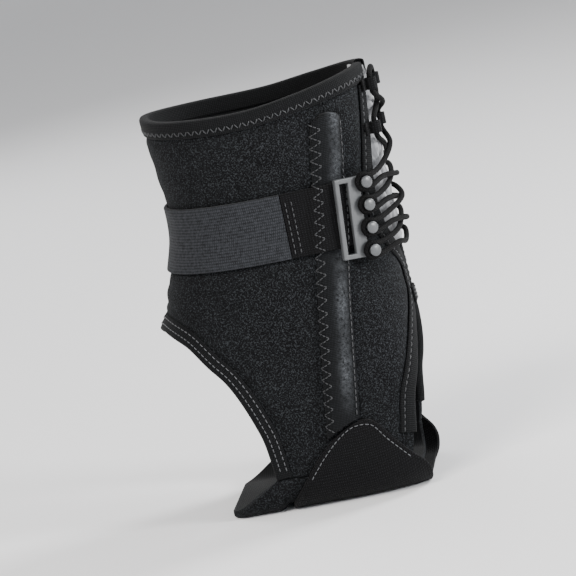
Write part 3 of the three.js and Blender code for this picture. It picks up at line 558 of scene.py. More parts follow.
def back_edge_angle(z):
    """Angle of the panels' back edge, from its half width at the heel opening, seam and gap."""
    z = np.asarray(z, float)
    heel = HEEL_OPENING_HALF * table_value(HEEL_OPENING, 1, z / HEEL_OPENING_TOP)
    gap = LACE_GAP_HALF * table_value(LACE_GAP, 1, (z - LACE_GAP_FOOT) / (HEIGHT - LACE_GAP_FOOT))
    half_gap = np.maximum(np.where(z < HEEL_OPENING_TOP, heel, gap), BACK_SEAM_HALF)
    _, back, half, square = section_at(z)
    x = back * (1 - (half_gap / half) ** square) ** (1 / square)
    return np.arctan2(half_gap, -x)


def rear_place(share, height):
    """Place (angle, z) from the seam (0) to the back edge (1); rows bend up to meet the rim."""
    edge = lerp(seam_angle(height, 1), back_edge_angle(height), share)
    rim = panel_rim(np.pi)
    rise = np.clip((height - LACE_GAP_FOOT) / (rim - LACE_GAP_FOOT), 0, 1)
    z = height - (rim - panel_rim(edge)) * rise ** 2
    return lerp(seam_angle(z, 1), back_edge_angle(z), share), z


rear_height = np.concatenate([
    np.linspace(PANEL_FOOT, HEEL_OPENING_TOP, 76),
    np.linspace(LACE_GAP_FOOT - 11, panel_rim(np.pi), 100),
])
back_edge_line = np.stack(rear_place(1, rear_height), axis=1)
for side, end in ((1, "near"), (-1, "far")):
    rear_angle, rear_z = rear_place(np.linspace(0, 1, 60)[None, :], rear_height[:, None])
    edges = [rim_edge, form_point(side * back_edge_line[:, 0], back_edge_line[:, 1])]
    rear_panel = panel_shell(f"rear_panel_{end}_cloth", side * rear_angle, rear_z, edges)
    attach(rear_panel, "root")
    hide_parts(f"rear_panel_{end}")


# Sole panel: laminate under the arch, with its sides turned up to the side panels and a short
# wing in front that drops to the floor.
SOLE_JOIN = SOLE_BASE + SOLE_CORNER
SOLE_FRONT_X = -45.6
SOLE_WING = 23.7
SOLE_REAR_X = 39
FOOT_STRAP_FRONT_X = -18
FOOT_STRAP_LENGTH = 62
FOOT_STRAP_HEIGHT = 36.5
FOOT_STRAP_WALL = 2.2


def under_point(x, girth):
    """The underside from the middle of the sole: flat, a round corner, then up the side."""
    join = side_y(x, SOLE_JOIN)
    flat = join - SOLE_CORNER
    bend = SOLE_CORNER * np.pi / 2
    s = np.abs(girth)
    a = np.clip((s - flat) / SOLE_CORNER, 0, np.pi / 2)
    z = SOLE_JOIN + np.maximum(s - flat - bend, 0)
    y = np.where(s < flat, s, flat + SOLE_CORNER * np.sin(a))
    y = np.where(s > flat + bend, side_y(x, z), y)
    z = np.where(s > flat + bend, z, SOLE_JOIN - SOLE_CORNER * np.cos(a))
    return np.stack(np.broadcast_arrays(x, np.where(girth < 0, y, -y), z), axis=-1)


def under_skin(x, girth, lift):
    """The underside raised by lift along its normal."""
    along = under_point(x + 0.25, girth) - under_point(x - 0.25, girth)
    up = under_point(x, girth + 0.25) - under_point(x, girth - 0.25)
    return under_point(x, girth) + unit(np.cross(along, up)) * np.asarray(lift, float)[..., None]


def under_rows(top, flat_rows, bend_rows, wall_rows):
    """Rows from one side to the other: share of the flat, turn of the bend, height on the side."""
    flat = np.concatenate([np.linspace(0, 1, flat_rows), np.ones(bend_rows + wall_rows)])
    bend = np.concatenate([
        np.zeros(flat_rows), np.linspace(0, 1, bend_rows + 1)[1:], np.ones(wall_rows),
    ])
    side = np.linspace(0, max(top - SOLE_JOIN, 0), wall_rows + 1)[1:]
    wall = np.concatenate([np.zeros(flat_rows + bend_rows), side])
    height = SOLE_JOIN * (1 - np.cos(bend * np.pi / 2)) + wall
    pick = np.concatenate([np.arange(len(flat))[::-1], np.arange(1, len(flat))])
    sign = np.where(np.arange(len(pick)) < len(flat), -1.0, 1.0)
    return (sign[:, None], *(column[pick][:, None] for column in (flat, bend, wall, height)))


def row_girth(x, sign, flat, bend, wall):
    """Girth from the middle of the sole of the places x on such rows."""
    half_flat = side_y(x, SOLE_JOIN) - SOLE_CORNER
    return sign * (half_flat * flat + SOLE_CORNER * bend * np.pi / 2 + wall)


def rounded(distance, radius):
    """How far a face drops within radius of an edge, as a quarter circle."""
    inside = np.clip(radius - distance, 0, radius)
    return radius - np.sqrt(radius ** 2 - inside ** 2)


sign, flat, bend, wall, height = under_rows(SOLE_JOIN, 14, 18, 0)
climb = height / SOLE_JOIN
wing_front = SOLE_FRONT_X + SOLE_WING * climb ** 0.7
share = np.linspace(0, 1, 90)[None, :]
sole_x = lerp(wing_front, SOLE_REAR_X, share)
wing = 1 - smoothstep(sole_x, FOOT_STRAP_FRONT_X - 5, FOOT_STRAP_FRONT_X - 1)
wing_drop = SOLE_BASE * wing * (1 - smoothstep(climb, 0, 0.6))
sole_drop = wing_drop - rounded(share * (SOLE_REAR_X - wing_front), 0.8)
sole_drop = sole_drop - rounded((1 - share) * 60, 0.8)
sole_girth = row_girth(sole_x, sign, flat, bend, wall)
sole_drop = sole_drop + 0.05 * np.sin(0.9 * sole_x) * np.sin(0.5 * sole_girth) - 0.05
sole_panel = shell(
    "sole_panel_cloth", under_skin(sole_x, sole_girth, sole_drop),
    under_skin(sole_x, sole_girth, wing_drop - PANEL_WALL),
    [LAMINATE, LINING], np.stack([sole_x, sole_girth], axis=-1), lining=True,
)
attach(sole_panel, "root")
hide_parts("sole_panel")


# Edge bindings: woven polyester tape folded over each cut edge and sewn through, so it is
# drawn in along its stitches and slightly rounded over the edge.
TAPE_SHEET = 0.75
TAPE_LIFT = 0.42
FOLD_MIDDLE = -1.85
FOLD_HALF = 2.25


def tape_finish(name, dark, light, rib, depth):
    """Ribbed narrow woven cloth: ribs run across the tape, rib mm apart, drawn coarse to show."""
    finish, tree, shader = new_finish(name, dark, {
        "Roughness": 0.85, "Sheen Weight": 0.02, "Specular IOR Level": 0.12,
    })
    places = add_node(tree, "UVMap", {"uv_map": "millimetres"})
    ribs = add_node(
        tree, "TexWave",
        {"bands_direction": "Y", "Scale": WAVE / rib, "Distortion": 0.6, "Detail": 2},
        {"Vector": (places, "UV")},
    )
    warp = add_node(
        tree, "TexWave",
        {"bands_direction": "X", "Scale": WAVE / (0.8 * rib), "Distortion": 0.6, "Detail": 2},
        {"Vector": (places, "UV")},
    )
    space = add_node(tree, "TexCoord", {})
    fuzz = add_node(
        tree, "TexNoise", {"Scale": 900, "Detail": 4, "Roughness": 0.7},
        {"Vector": (space, "Object")},
    )
    weave = add_node(tree, "Math", {"operation": "MULTIPLY"}, {0: (ribs, "Fac"), 1: (warp, "Fac")})
    lit = add_node(tree, "Math", {"operation": "MULTIPLY"}, {0: (weave, "Value"), 1: (fuzz, "Fac")})
    spread = add_node(
        tree, "MapRange", {"From Min": 0.05, "From Max": 0.55}, {"Value": (lit, "Value")},
    )
    woven = add_node(
        tree, "Mix", {"data_type": "RGBA", 6: linear(dark), 7: linear(light)},
        {0: (spread, "Result")},
    )
    # Painted highlight: this attribute lightens the cloth towards #5a5d61 in broken patches,
    # standing in for side light on a stay channel's crest. Pieces without the attribute read 0.
    crest = add_node(tree, "Attribute", {"attribute_name": "painted_crest_highlight"})
    specks = add_node(
        tree, "TexNoise", {"Scale": 760, "Detail": 5, "Roughness": 0.75},
        {"Vector": (space, "Object")},
    )
    broken = add_node(
        tree, "MapRange", {"From Min": 0.36, "From Max": 0.68}, {"Value": (specks, "Fac")},
    )
    patchy = add_node(
        tree, "Math", {"operation": "MULTIPLY"}, {0: (crest, "Fac"), 1: (broken, "Result")},
    )
    colour = add_node(
        tree, "Mix", {"data_type": "RGBA", 7: linear("#5a5d61")},
        {0: (patchy, "Value"), 6: (woven, 2)},
    )
    height_sum = add_node(
        tree, "Math", {"operation": "ADD"}, {0: (weave, "Value"), 1: (fuzz, "Fac")},
    )
    bump = add_node(
        tree, "Bump", {"Strength": 0.6, "Distance": depth}, {"Height": (height_sum, "Value")},
    )
    link_inputs(tree, shader, {"Base Color": (colour, 2), "Normal": (bump, "Normal")})
    return finish


TAPE = tape_finish("woven_binding_tape", "#08090a", "#1d1e20", 0.9, 0.0003)


def inward_step(stations, into):
    """The change of (angle, z) that moves one millimetre into the panel, square to its edge."""
    angle, z = stations.T
    around = (form_point(angle + 0.01, z) - form_point(angle - 0.01, z)) / 0.02
    up = form_point(angle, z + 0.5) - form_point(angle, z - 0.5)
    tangent = np.gradient(form_point(angle, z), axis=0)
    inward = unit(np.cross(unit(np.cross(around, up)), tangent)) * into
    aa, ab, bb = (around * around).sum(1), (around * up).sum(1), (up * up).sum(1)
    ad, bd = (around * inward).sum(1), (up * inward).sum(1)
    scale = aa * bb - ab * ab
    return np.stack([(ad * bb - bd * ab) / scale, (bd * aa - ad * ab) / scale], axis=1)


def binding(name, stations, into, node, fold_reach=1.1):
    """A U of tape along an edge: two flaps and a half-round fold, drawn in along its stitches."""
    flap = np.linspace(BINDING_WIDTH, 0.4, 14)
    depth = np.concatenate([flap, np.zeros(13), flap[::-1]])
    turn = np.linspace(np.pi / 2, -np.pi / 2, 13)
    fold = slice(14, 27)
    outside = np.arange(len(depth)) < 20
    top = TAPE_LIFT - 0.22 * np.exp(-((depth - 4.6) / 0.7) ** 2)
    top = top + 0.1 * np.sin(np.pi * depth / BINDING_WIDTH)
    lift = np.where(outside, top, 2 * FOLD_MIDDLE - TAPE_LIFT)
    depth[fold] = -fold_reach * np.cos(turn)
    lift[fold] = FOLD_MIDDLE + FOLD_HALF * np.sin(turn)
    inner_depth = depth.copy()
    inner_lift = lift + np.where(outside, -TAPE_SHEET, TAPE_SHEET)
    inner_depth[fold] = -0.4 * np.cos(turn)
    inner_lift[fold] = FOLD_MIDDLE + (FOLD_HALF - TAPE_SHEET) * np.sin(turn)
    lift = lift - rounded(BINDING_WIDTH - depth, 0.35) * np.sign(lift - FOLD_MIDDLE)
    step = inward_step(stations, into)[:, None, :]
    outer_at = stations[:, None, :] + step * depth[None, :, None]
    inner_at = stations[:, None, :] + step * inner_depth[None, :, None]
    along = np.arange(len(stations))[:, None]
    ripple = 0.06 * np.sin(along * 1.3) * np.exp(-((depth - 5.4) / 1.2) ** 2)
    outer = skin(outer_at[..., 0], outer_at[..., 1], lift + ripple)
    inner = skin(inner_at[..., 0], inner_at[..., 1], inner_lift + 0 * ripple)
    piece = shell(name, outer, inner, [TAPE], arc_places(outer))
    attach(piece, "root")
    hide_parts(node)


opening = foot_opening_stations(330)
opening[[0, -1], 1] = PANEL_FOOT + SEAM_GAP
binding("foot_opening_tape", opening, 1, "foot_opening_binding")

front_across = np.linspace(-1, 1, 240)
front_rim_z = panel_rim(front_across * seam_angle(HEIGHT, -1))
front_rim = np.stack([front_across * seam_angle(front_rim_z, -1), front_rim_z], axis=1)
near_rim = np.stack(rear_place(np.linspace(0, 1, 60), panel_rim(np.pi)), axis=1)
rim_stations = np.vstack([near_rim[::-1] * (-1, 1), front_rim[1:-1], near_rim])
binding("top_rim_tape", rim_stations, -1, "top_binding")

back_top = panel_rim(np.pi) - 1.45 * BINDING_WIDTH
keep = (back_edge_line[:, 1] > PANEL_FOOT + 1.3 * BINDING_WIDTH) & (back_edge_line[:, 1] < back_top)
back_stations = even_places(back_edge_line[keep] * (TURN_LENGTH, 1), 260) / (TURN_LENGTH, 1)
binding("back_tape_near", back_stations, 1, "back_binding_near", fold_reach=1.75)
binding("back_tape_far", back_stations * (-1, 1), -1, "back_binding_far", fold_reach=1.75)


# Stay channels: wide tape sewn down along both edges over each side seam, domed by the spring
# stay inside it and pressed flat under the strap.
CHANNEL_WIDTH = 14
CHANNEL_TOP = 170
CHANNEL_TAPE = 0.9
CHANNEL_RELIEF = 2.6
CHANNEL_PRESSED = 0.6
PLATE_HEIGHT = 35
# Foot strap seen from the side: height share, front edge share, rear edge share
FOOT_STRAP_OUTLINE = np.array([
    [0.00, 0.000, 0.985], [0.08, 0.024, 1.000], [0.22, 0.085, 1.000], [0.34, 0.135, 0.971],
    [0.44, 0.177, 0.924], [0.52, 0.215, 0.890], [0.60, 0.255, 0.855], [0.68, 0.300, 0.819],
    [0.77, 0.355, 0.782], [0.88, 0.439, 0.742], [0.96, 0.524, 0.698], [0.99, 0.580, 0.668],
    [1.00, 0.612, 0.645],
])


def channel_angle(z):
    return angle_at(CHANNEL_FOOT_X + CHANNEL_LEAN * z, z)


def channel_half_turn(z):
    return CHANNEL_WIDTH / 2 / np.linalg.norm(form_point(channel_angle(z), z)[..., :2], axis=-1)


def channel_lift(across, z):
    """Stand-off of the channel's face: a dome across it, low under the strap and the plates."""
    clear = (PLATE_HEIGHT - STRAP_WIDTH) / 2
    below = smoothstep(z, STRAP_LOW - clear - 6, STRAP_LOW - clear)
    above = smoothstep(z, STRAP_HIGH + clear, STRAP_HIGH + clear + 6)
    relief = lerp(CHANNEL_RELIEF, CHANNEL_PRESSED, below * (1 - above))
    dome = np.maximum(1 - across ** 2, 0) ** 0.7
    fade = 1 - smoothstep(np.abs(across), 1, 1.6)
    return (LAYER_GAP + CHANNEL_TAPE) * fade + relief * dome


def channel_low(across):
    """Lower edge of the channel, just above the foot strap's rising front edge and peak."""
    x = CHANNEL_FOOT_X + CHANNEL_LEAN * FOOT_STRAP_HEIGHT + across * CHANNEL_WIDTH / 2
    front_edge = FOOT_STRAP_OUTLINE[:, [1, 0]]
    share_x = (x - FOOT_STRAP_FRONT_X) / FOOT_STRAP_LENGTH
    return FOOT_STRAP_HEIGHT * table_value(front_edge, 1, share_x) + 3 * LAYER_GAP


CHANNEL_CLOTH = tape_finish("twill_channel_tape", "#08090a", "#222427", 0.75, 0.0002)
channel_across = np.sin(np.linspace(-np.pi / 2, np.pi / 2, 34))[None, :]
channel_up = np.linspace(0, 1, 170)[:, None]
channel_round = CHANNEL_WIDTH / 2 * (1 - np.sqrt(1 - channel_across ** 2))
channel_z = lerp(channel_low(channel_across), CHANNEL_TOP - channel_round, channel_up)
channel_turn = channel_angle(channel_z) + channel_across * channel_half_turn(channel_z)
sewn_share = (np.abs(channel_across) > 0.5) * (1 - np.abs(channel_across))
channel_edge = CHANNEL_WIDTH / 2 * (1 - np.abs(channel_across))
channel_face = channel_lift(channel_across, channel_z)
channel_face = channel_face + 0.10 * np.sin(1.4 * channel_z) * sewn_share
channel_face = channel_face + 0.08 * np.sin(0.31 * channel_z) * (1 - channel_across ** 2)
channel_face = channel_face - 0.35 * np.exp(-((np.abs(channel_across) - 0.80) / 0.07) ** 2)
channel_face = channel_face - rounded(channel_edge, 0.4)
# Painted highlight on the rear crest of the channel's dome, where the side light falls: a band just
# behind the middle, left out under the strap and low down. It is kept as a point attribute for the
# tape finish.
channel_crest_highlight_share = 0.8 * np.exp(-((channel_across - 0.38) / 0.33) ** 2) * (1 - pressed(channel_z))
channel_crest_highlight_share = channel_crest_highlight_share * (0.75 + 0.25 * np.sin(0.23 * channel_z))
channel_crest_highlight_share = channel_crest_highlight_share * smoothstep(channel_z, 38, 52)
for side, end in ((1, "near"), (-1, "far")):
    channel = shell(
        f"stay_channel_{end}_tape", skin(side * channel_turn, channel_z, channel_face),
        skin(side * channel_turn, channel_z, LAYER_GAP + 0 * channel_face), [CHANNEL_CLOTH],
        np.stack(np.broadcast_arrays(CHANNEL_WIDTH / 2 * channel_across, channel_z), axis=-1),
    )
    painted_crest_highlight = channel.data.attributes.new("painted_crest_highlight", "FLOAT", "POINT")
    painted_crest_highlight.data.foreach_set("value", np.tile(channel_crest_highlight_share.ravel(), 2).astype(np.float32))
    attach(channel, "root")
    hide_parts(f"stay_channel_{end}")


# Foot strap: firm polyester webbing under the sole like a stirrup, tapering up each side to a
# peak that is sewn to the panels, with a lighter stitched border.
WEBBING = tape_finish("polyester_webbing", "#060607", "#161719", 1.2, 0.0004)
STRAP_WALL = 1.6


def strap_edges(height):
    """Front and rear edges of the foot strap at a height."""
    share = height / FOOT_STRAP_HEIGHT
    front = FOOT_STRAP_FRONT_X + FOOT_STRAP_LENGTH * table_value(FOOT_STRAP_OUTLINE, 1, share)
    rear = FOOT_STRAP_FRONT_X + FOOT_STRAP_LENGTH * table_value(FOOT_STRAP_OUTLINE, 2, share)
    return front, rear


sign, flat, bend, wall, height = under_rows(FOOT_STRAP_HEIGHT, 12, 16, 34)
strap_front, strap_rear = strap_edges(height)
share = (1 - np.cos(np.linspace(0, np.pi, 64)[None, :])) / 2
strap_x = lerp(strap_front, strap_rear, share)
strap_girth = row_girth(strap_x, sign, flat, bend, wall)
to_edge = np.minimum(share, 1 - share) * (strap_rear - strap_front)
to_edge = np.minimum(to_edge, FOOT_STRAP_HEIGHT - height + 0.2)
border_groove = 0.25 * np.exp(-((to_edge - 2.3) / 0.5) ** 2) * (height > 4)
strap_face = SOLE_BASE - rounded(to_edge, 0.6) - border_groove
foot_strap = shell(
    "foot_strap_webbing", under_skin(strap_x, strap_girth, strap_face),
    under_skin(strap_x, strap_girth, SOLE_BASE - FOOT_STRAP_WALL + 0 * strap_face), [WEBBING],
    np.stack([strap_x, strap_girth], axis=-1),
)
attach(foot_strap, "root")
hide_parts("foot_strap")


# Elastic strap: a broad knitted elastic band round the front of the brace, clearly lighter
# than the laminate, with fine lengthwise ribs and a firm edge.
ELASTIC_END_X = 6
TAB_END_X = 38


def elastic_finish():
    """Knitted elastic: lengthwise ribs 1.3 mm apart and short cross picks, heather grey."""
    finish, tree, shader = new_finish("knitted_elastic", "#3f4246", {
        "Roughness": 0.9, "Sheen Weight": 0.03, "Specular IOR Level": 0.12,
    })
    places = add_node(tree, "UVMap", {"uv_map": "millimetres"})
    ribs = add_node(
        tree, "TexWave",
        {"bands_direction": "Y", "Scale": WAVE / 1.3, "Distortion": 0.4, "Detail": 1},
        {"Vector": (places, "UV")},
    )
    picks = add_node(
        tree, "TexWave",
        {"bands_direction": "X", "Scale": WAVE / 0.9, "Distortion": 1.2, "Detail": 2},
        {"Vector": (places, "UV")},
    )
    space = add_node(tree, "TexCoord", {})
    heather = add_node(
        tree, "TexNoise", {"Scale": 700, "Detail": 4, "Roughness": 0.75},
        {"Vector": (space, "Object")},
    )
    weave = add_node(tree, "Math", {"operation": "MULTIPLY"}, {0: (ribs, "Fac"), 1: (picks, "Fac")})
    mixed = add_node(
        tree, "Math", {"operation": "MULTIPLY_ADD", 1: 0.4},
        {0: (weave, "Value"), 2: (heather, "Fac")},
    )
    spread = add_node(
        tree, "MapRange", {"From Min": 0.38, "From Max": 0.86}, {"Value": (mixed, "Value")},
    )
    colour = add_node(
        tree, "Mix", {"data_type": "RGBA", 6: linear("#151618"), 7: linear("#34363a")},
        {0: (spread, "Result")},
    )
    bump = add_node(
        tree, "Bump", {"Strength": 0.55, "Distance": 0.0004}, {"Height": (mixed, "Value")},
    )
    link_inputs(tree, shader, {"Base Color": (colour, 2), "Normal": (bump, "Normal")})
    return finish


ELASTIC = elastic_finish()
band_rows = (1 - np.cos(np.linspace(0, np.pi, 26))) / 2
band_z = lerp(STRAP_LOW, STRAP_HIGH, band_rows)[:, None]
band_edge = np.minimum(band_z - STRAP_LOW, STRAP_HIGH - band_z)
elastic_angle = np.linspace(-1, 1, 260)[None, :] * angle_at(ELASTIC_END_X, band_z)
elastic_ripple = 0.06 * np.sin(17 * elastic_angle) * (band_edge > 1)
elastic_lift = LAYER_GAP + STRAP_WALL - rounded(band_edge, 0.5) + elastic_ripple
elastic_outer = skin(elastic_angle, band_z, elastic_lift)
elastic_strap = shell(
    "elastic_strap_band", elastic_outer, skin(elastic_angle, band_z, LAYER_GAP + 0 * elastic_lift),
    [ELASTIC], arc_places(elastic_outer),
)
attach(elastic_strap, "root")
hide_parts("elastic_strap")


# Strap tabs: the dark webbing ends of the elastic band, which lie over the stay channels and
# run under the lacing plates.
tab_share = (1 - np.cos(np.linspace(0, np.pi, 70)))[None, :] / 2
tab_x = lerp(ELASTIC_END_X + SEAM_GAP, TAB_END_X, tab_share)
tab_angle = angle_at(tab_x, band_z)
tab_across = (tab_angle - channel_angle(band_z)) / channel_half_turn(band_z)
tab_lift = channel_lift(tab_across, band_z) + LAYER_GAP
tab_edge = np.minimum(band_edge, np.minimum(tab_x - tab_x.min(), tab_x.max() - tab_x))
tab_face = tab_lift + STRAP_WALL - rounded(tab_edge, 0.6)
# The tab is 1.2 times as long as its reach from front to back, because it curves round the side
for side, end in ((1, "near"), (-1, "far")):
    tab = shell(
        f"strap_tab_{end}_webbing", skin(side * tab_angle, band_z, tab_face),
        skin(side * tab_angle, band_z, tab_lift), [WEBBING],
        np.stack(np.broadcast_arrays(band_z, tab_x), axis=-1),
    )
    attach(tab, "root")
    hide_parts(f"strap_tab_{end}")


# Lacing plates: moulded grey nylon, with a long slot beside the front bar and four hooked
# pegs; the moulding leaves rounded edges and a faint flow texture.
PLATE_WIDTH = 13.6
PLATE_WALL = 2.4
PLATE_CENTRE = 123.5
PLATE_LEAN = np.radians(5)
PLATE_BAR = 2.2
PLATE_SLOT = 4
PLATE_FRONT_X = 27.4
PLATE_BACK_X = 37.8
PEG_COUNT = 4
PEG_PITCH = 9.9
PEG_RADIUS = 1.4
PEG_HEAD_RADIUS = 2.6
PEG_HEAD_WALL = 1.4
LACE_RADIUS = 1.2
PEG_X = PLATE_WIDTH - PEG_HEAD_RADIUS / 2
PEG_NECK = 2 * LACE_RADIUS + 0.9
PEG_Y = PEG_PITCH * ((PEG_COUNT - 1) / 2 - np.arange(PEG_COUNT))
PLATE_SCALLOP = 2.86
PLATE_CORNER = 0.7
PLATE_EDGE = 0.45


def nylon_finish():
    """Satin mid-grey nylon with flow mottling, finger wear and a slightly pebbled skin."""
    finish, tree, shader = new_finish("moulded_nylon", "#4a4c4e", {
        "Roughness": 0.34, "Specular IOR Level": 0.5, "IOR": 1.53,
    })
    places = add_node(tree, "TexCoord", {})
    flow = add_node(tree, "TexNoise", {"Scale": 160, "Detail": 4}, {"Vector": (places, "Object")})
    pebble = add_node(
        tree, "TexNoise", {"Scale": 1800, "Detail": 2}, {"Vector": (places, "Object")},
    )
    colour = add_node(
        tree, "Mix", {"data_type": "RGBA", 6: linear("#3d3f41"), 7: linear("#525456")},
        {0: (flow, "Fac")},
    )
    worn = add_node(tree, "MapRange", {"To Min": 0.26, "To Max": 0.46}, {"Value": (flow, "Fac")})
    bump = add_node(
        tree, "Bump", {"Strength": 0.15, "Distance": 0.0002}, {"Height": (pebble, "Fac")},
    )
    link_inputs(tree, shader, {
        "Base Color": (colour, 2), "Roughness": (worn, "Result"), "Normal": (bump, "Normal"),
    })
    return finish


def plate_frame():
    """Origin and axes (along, up, out) of the near plate, on a chord of the form, leaning back."""
    layers = channel_lift(np.array(0.0), np.array(PLATE_CENTRE)) + 2.4 * LAYER_GAP + STRAP_WALL
    front = skin(angle_at(PLATE_FRONT_X, PLATE_CENTRE), PLATE_CENTRE, layers)
    back = skin(angle_at(PLATE_BACK_X, PLATE_CENTRE), PLATE_CENTRE, layers - CHANNEL_PRESSED / 2)
    along = unit((back - front) * (1, 1, 0))
    up = np.array([0.0, 0.0, 1.0])
    out = np.cross(along, up)
    c, s = np.cos(-PLATE_LEAN), np.sin(-PLATE_LEAN)
    return front, np.stack([along * c + up * s, up * c - along * s, out])


PLATE_ORIGIN, PLATE_AXES = plate_frame()


def on_plate(points):
    """Points of the plate's own frame, carried to the near side of the brace."""
    return PLATE_ORIGIN + points @ PLATE_AXES


def plate_body():
    """The flat outline with its slot, raised to PLATE_WALL with a rounded edge, as a mesh."""
    half = PLATE_HEIGHT / 2
    edge = PEG_X - PEG_HEAD_RADIUS / 2
    swell = np.linspace(-np.pi / 2, np.pi / 2, 15)
    scallop = PLATE_SCALLOP * np.stack([np.cos(swell), np.sin(swell)], 1)
    scallops = [scallop + (edge, y) for y in PEG_Y[::-1]]
    corner = np.linspace(0, np.pi / 2, 5)
    bend = PLATE_CORNER * np.stack([1 - np.cos(corner), 1 - np.sin(corner)], 1)
    low = bend - (PLATE_BAR / 2, half)
    rim = np.vstack([low, [edge, -half], *scallops, [edge, half], (low * (1, -1))[::-1]])
    bar, reach = PLATE_BAR / 2, half - PLATE_BAR
    slot = bar + PLATE_SLOT
    hole = np.array([[bar, -reach], [bar, reach], [slot, reach], [slot, -reach]])
    curve = bpy.data.curves.new("plate_outline", "CURVE")
    curve.dimensions = "2D"
    curve.fill_mode = "BOTH"
    curve.extrude = PLATE_WALL / 2 - PLATE_EDGE
    curve.bevel_depth = PLATE_EDGE
    curve.bevel_resolution = 3
    curve.offset = -PLATE_EDGE
    for line in (rim, hole):
        spline = curve.splines.new("POLY")
        spline.points.add(len(line) - 1)
        spline.points.foreach_set("co", np.pad(line, ((0, 0), (0, 2))).ravel())
        spline.use_cyclic_u = True
    holder = bpy.data.objects.new("plate_outline", curve)
    flat_mesh = holder.to_mesh()
    corners = np.empty(len(flat_mesh.vertices) * 3)
    flat_mesh.vertices.foreach_get("co", corners)
    faces = [list(face.vertices) for face in flat_mesh.polygons]
    holder.to_mesh_clear()
    bpy.data.objects.remove(holder)
    return corners.reshape(-1, 3) + (0, 0, PLATE_WALL / 2), faces


def peg_body(y):
    """A hooked peg: a neck and a domed head, as a profile turned once round its axis."""
    neck = PLATE_WALL + PEG_NECK
    bow = np.linspace(0, np.pi / 2, 8)
    dome = np.stack([
        0.02 + (PEG_HEAD_RADIUS - 0.02) * np.cos(bow),
        neck + 0.6 + (PEG_HEAD_WALL - 0.6) * np.sin(bow),
    ], 1)
    profile = np.vstack([
        [PEG_RADIUS + 0.5, PLATE_WALL - 0.3], [PEG_RADIUS + 0.15, PLATE_WALL + 0.25],
        [PEG_RADIUS, PLATE_WALL + 0.7], [PEG_RADIUS, neck - 0.3], [PEG_RADIUS + 0.3, neck],
        [PEG_HEAD_RADIUS - 0.25, neck + 0.1], [PEG_HEAD_RADIUS, neck + 0.4], dome,
    ])
    turn = np.linspace(0, 2 * np.pi, 33)
    ring = np.stack(np.broadcast_arrays(
        PEG_X + profile[:, :1] * np.cos(turn), y + profile[:, :1] * np.sin(turn), profile[:, 1:],
    ), axis=-1)
    return ring.reshape(-1, 3), grid_faces(len(profile), len(turn))


NYLON = nylon_finish()
body_corners, body_faces = plate_body()
pegs = [peg_body(y) for y in PEG_Y]
for side, end in ((1, "near"), (-1, "far")):
    corners, faces = [body_corners], list(body_faces)
    for peg_corners, peg_faces in pegs:
        faces.extend((peg_faces + sum(map(len, corners))).tolist())
        corners.append(peg_corners)
    placed = in_frame(on_plate(np.vstack(corners)) * (1, side, 1))
    mesh = bpy.data.meshes.new(f"lacing_plate_{end}_moulding")
    mesh.from_pydata(placed.tolist(), [], faces if side > 0 else [face[::-1] for face in faces])
    mesh.materials.append(NYLON)
    mesh.polygons.foreach_set("use_smooth", np.ones(len(mesh.polygons), bool))
    mesh.set_sharp_from_angle(angle=np.radians(40))
    plate = bpy.data.objects.new(mesh.name, mesh)
    bpy.context.scene.collection.objects.link(plate)
    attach(plate, "root")
    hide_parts(f"lacing_plate_{end}")


# Lace loops: short ends of narrow webbing folded into an eye on each back edge, two a side,
# and sewn down close on to its tape.
EYE_WALL = 0.7
EYE_HEIGHT = 5
EYE_STRIP = 6
UPPER_EYE = 175.5
LOWER_EYE = 157
EYE_RADIUS = LACE_RADIUS + 0.7
EYE_OUTER = EYE_RADIUS + EYE_WALL
SEWN_LIFT = 0.6


def eye_frame(z):
    """Origin and axes (back, out, down) of a near loop, sewn close on to the back edge's tape."""
    angle = back_edge_angle(z)
    origin = skin(angle, z, SEWN_LIFT)
    out = unit((skin(angle, z, SEWN_LIFT + 1) - origin) * (1, 1, 0))
    down = np.array([0.0, 0.0, -1.0])
    return origin, np.stack([np.cross(out, down), out, down])


def loop_band(z):
    """A strip and then a full turn round the eye, as outer and inner faces of a band."""
    turn = np.linspace(-np.pi / 2, 1.25 * np.pi, 40)
    strip = np.linspace(-EYE_STRIP, 0, 10)
    x = np.concatenate([strip, EYE_OUTER * np.cos(turn)[1:]])
    y = np.concatenate([0 * strip, EYE_OUTER + EYE_OUTER * np.sin(turn)[1:]])
    x_in = np.concatenate([strip, EYE_RADIUS * np.cos(turn)[1:]])
    y_in = np.concatenate([0 * strip + EYE_WALL, EYE_OUTER + EYE_RADIUS * np.sin(turn)[1:]])
    width = (1 - np.cos(np.linspace(0, np.pi, 12))) / 2 * EYE_HEIGHT - EYE_HEIGHT / 2
    origin, axes = eye_frame(z)
    faces = [
        origin + np.stack(np.broadcast_arrays(a[:, None], b[:, None], width[None, :]), -1) @ axes
        for a, b in ((x, y), (x_in, y_in))
    ]
    uv = np.stack(np.broadcast_arrays(width[None, :], np.arange(len(x))[:, None] * 0.35), -1)
    return (*faces, uv)


for z, level in ((UPPER_EYE, "upper"), (LOWER_EYE, "lower")):
    loop_outer, loop_inner, loop_uv = loop_band(z)
    for side, end in ((1, "near"), (-1, "far")):
        loop = shell(
            f"lace_loop_{end}_{level}_webbing", loop_outer * (1, side, 1),
            loop_inner * (1, side, 1), [WEBBING], loop_uv,
        )
        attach(loop, "root")
        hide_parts(f"lace_loop_{end}_{level}")


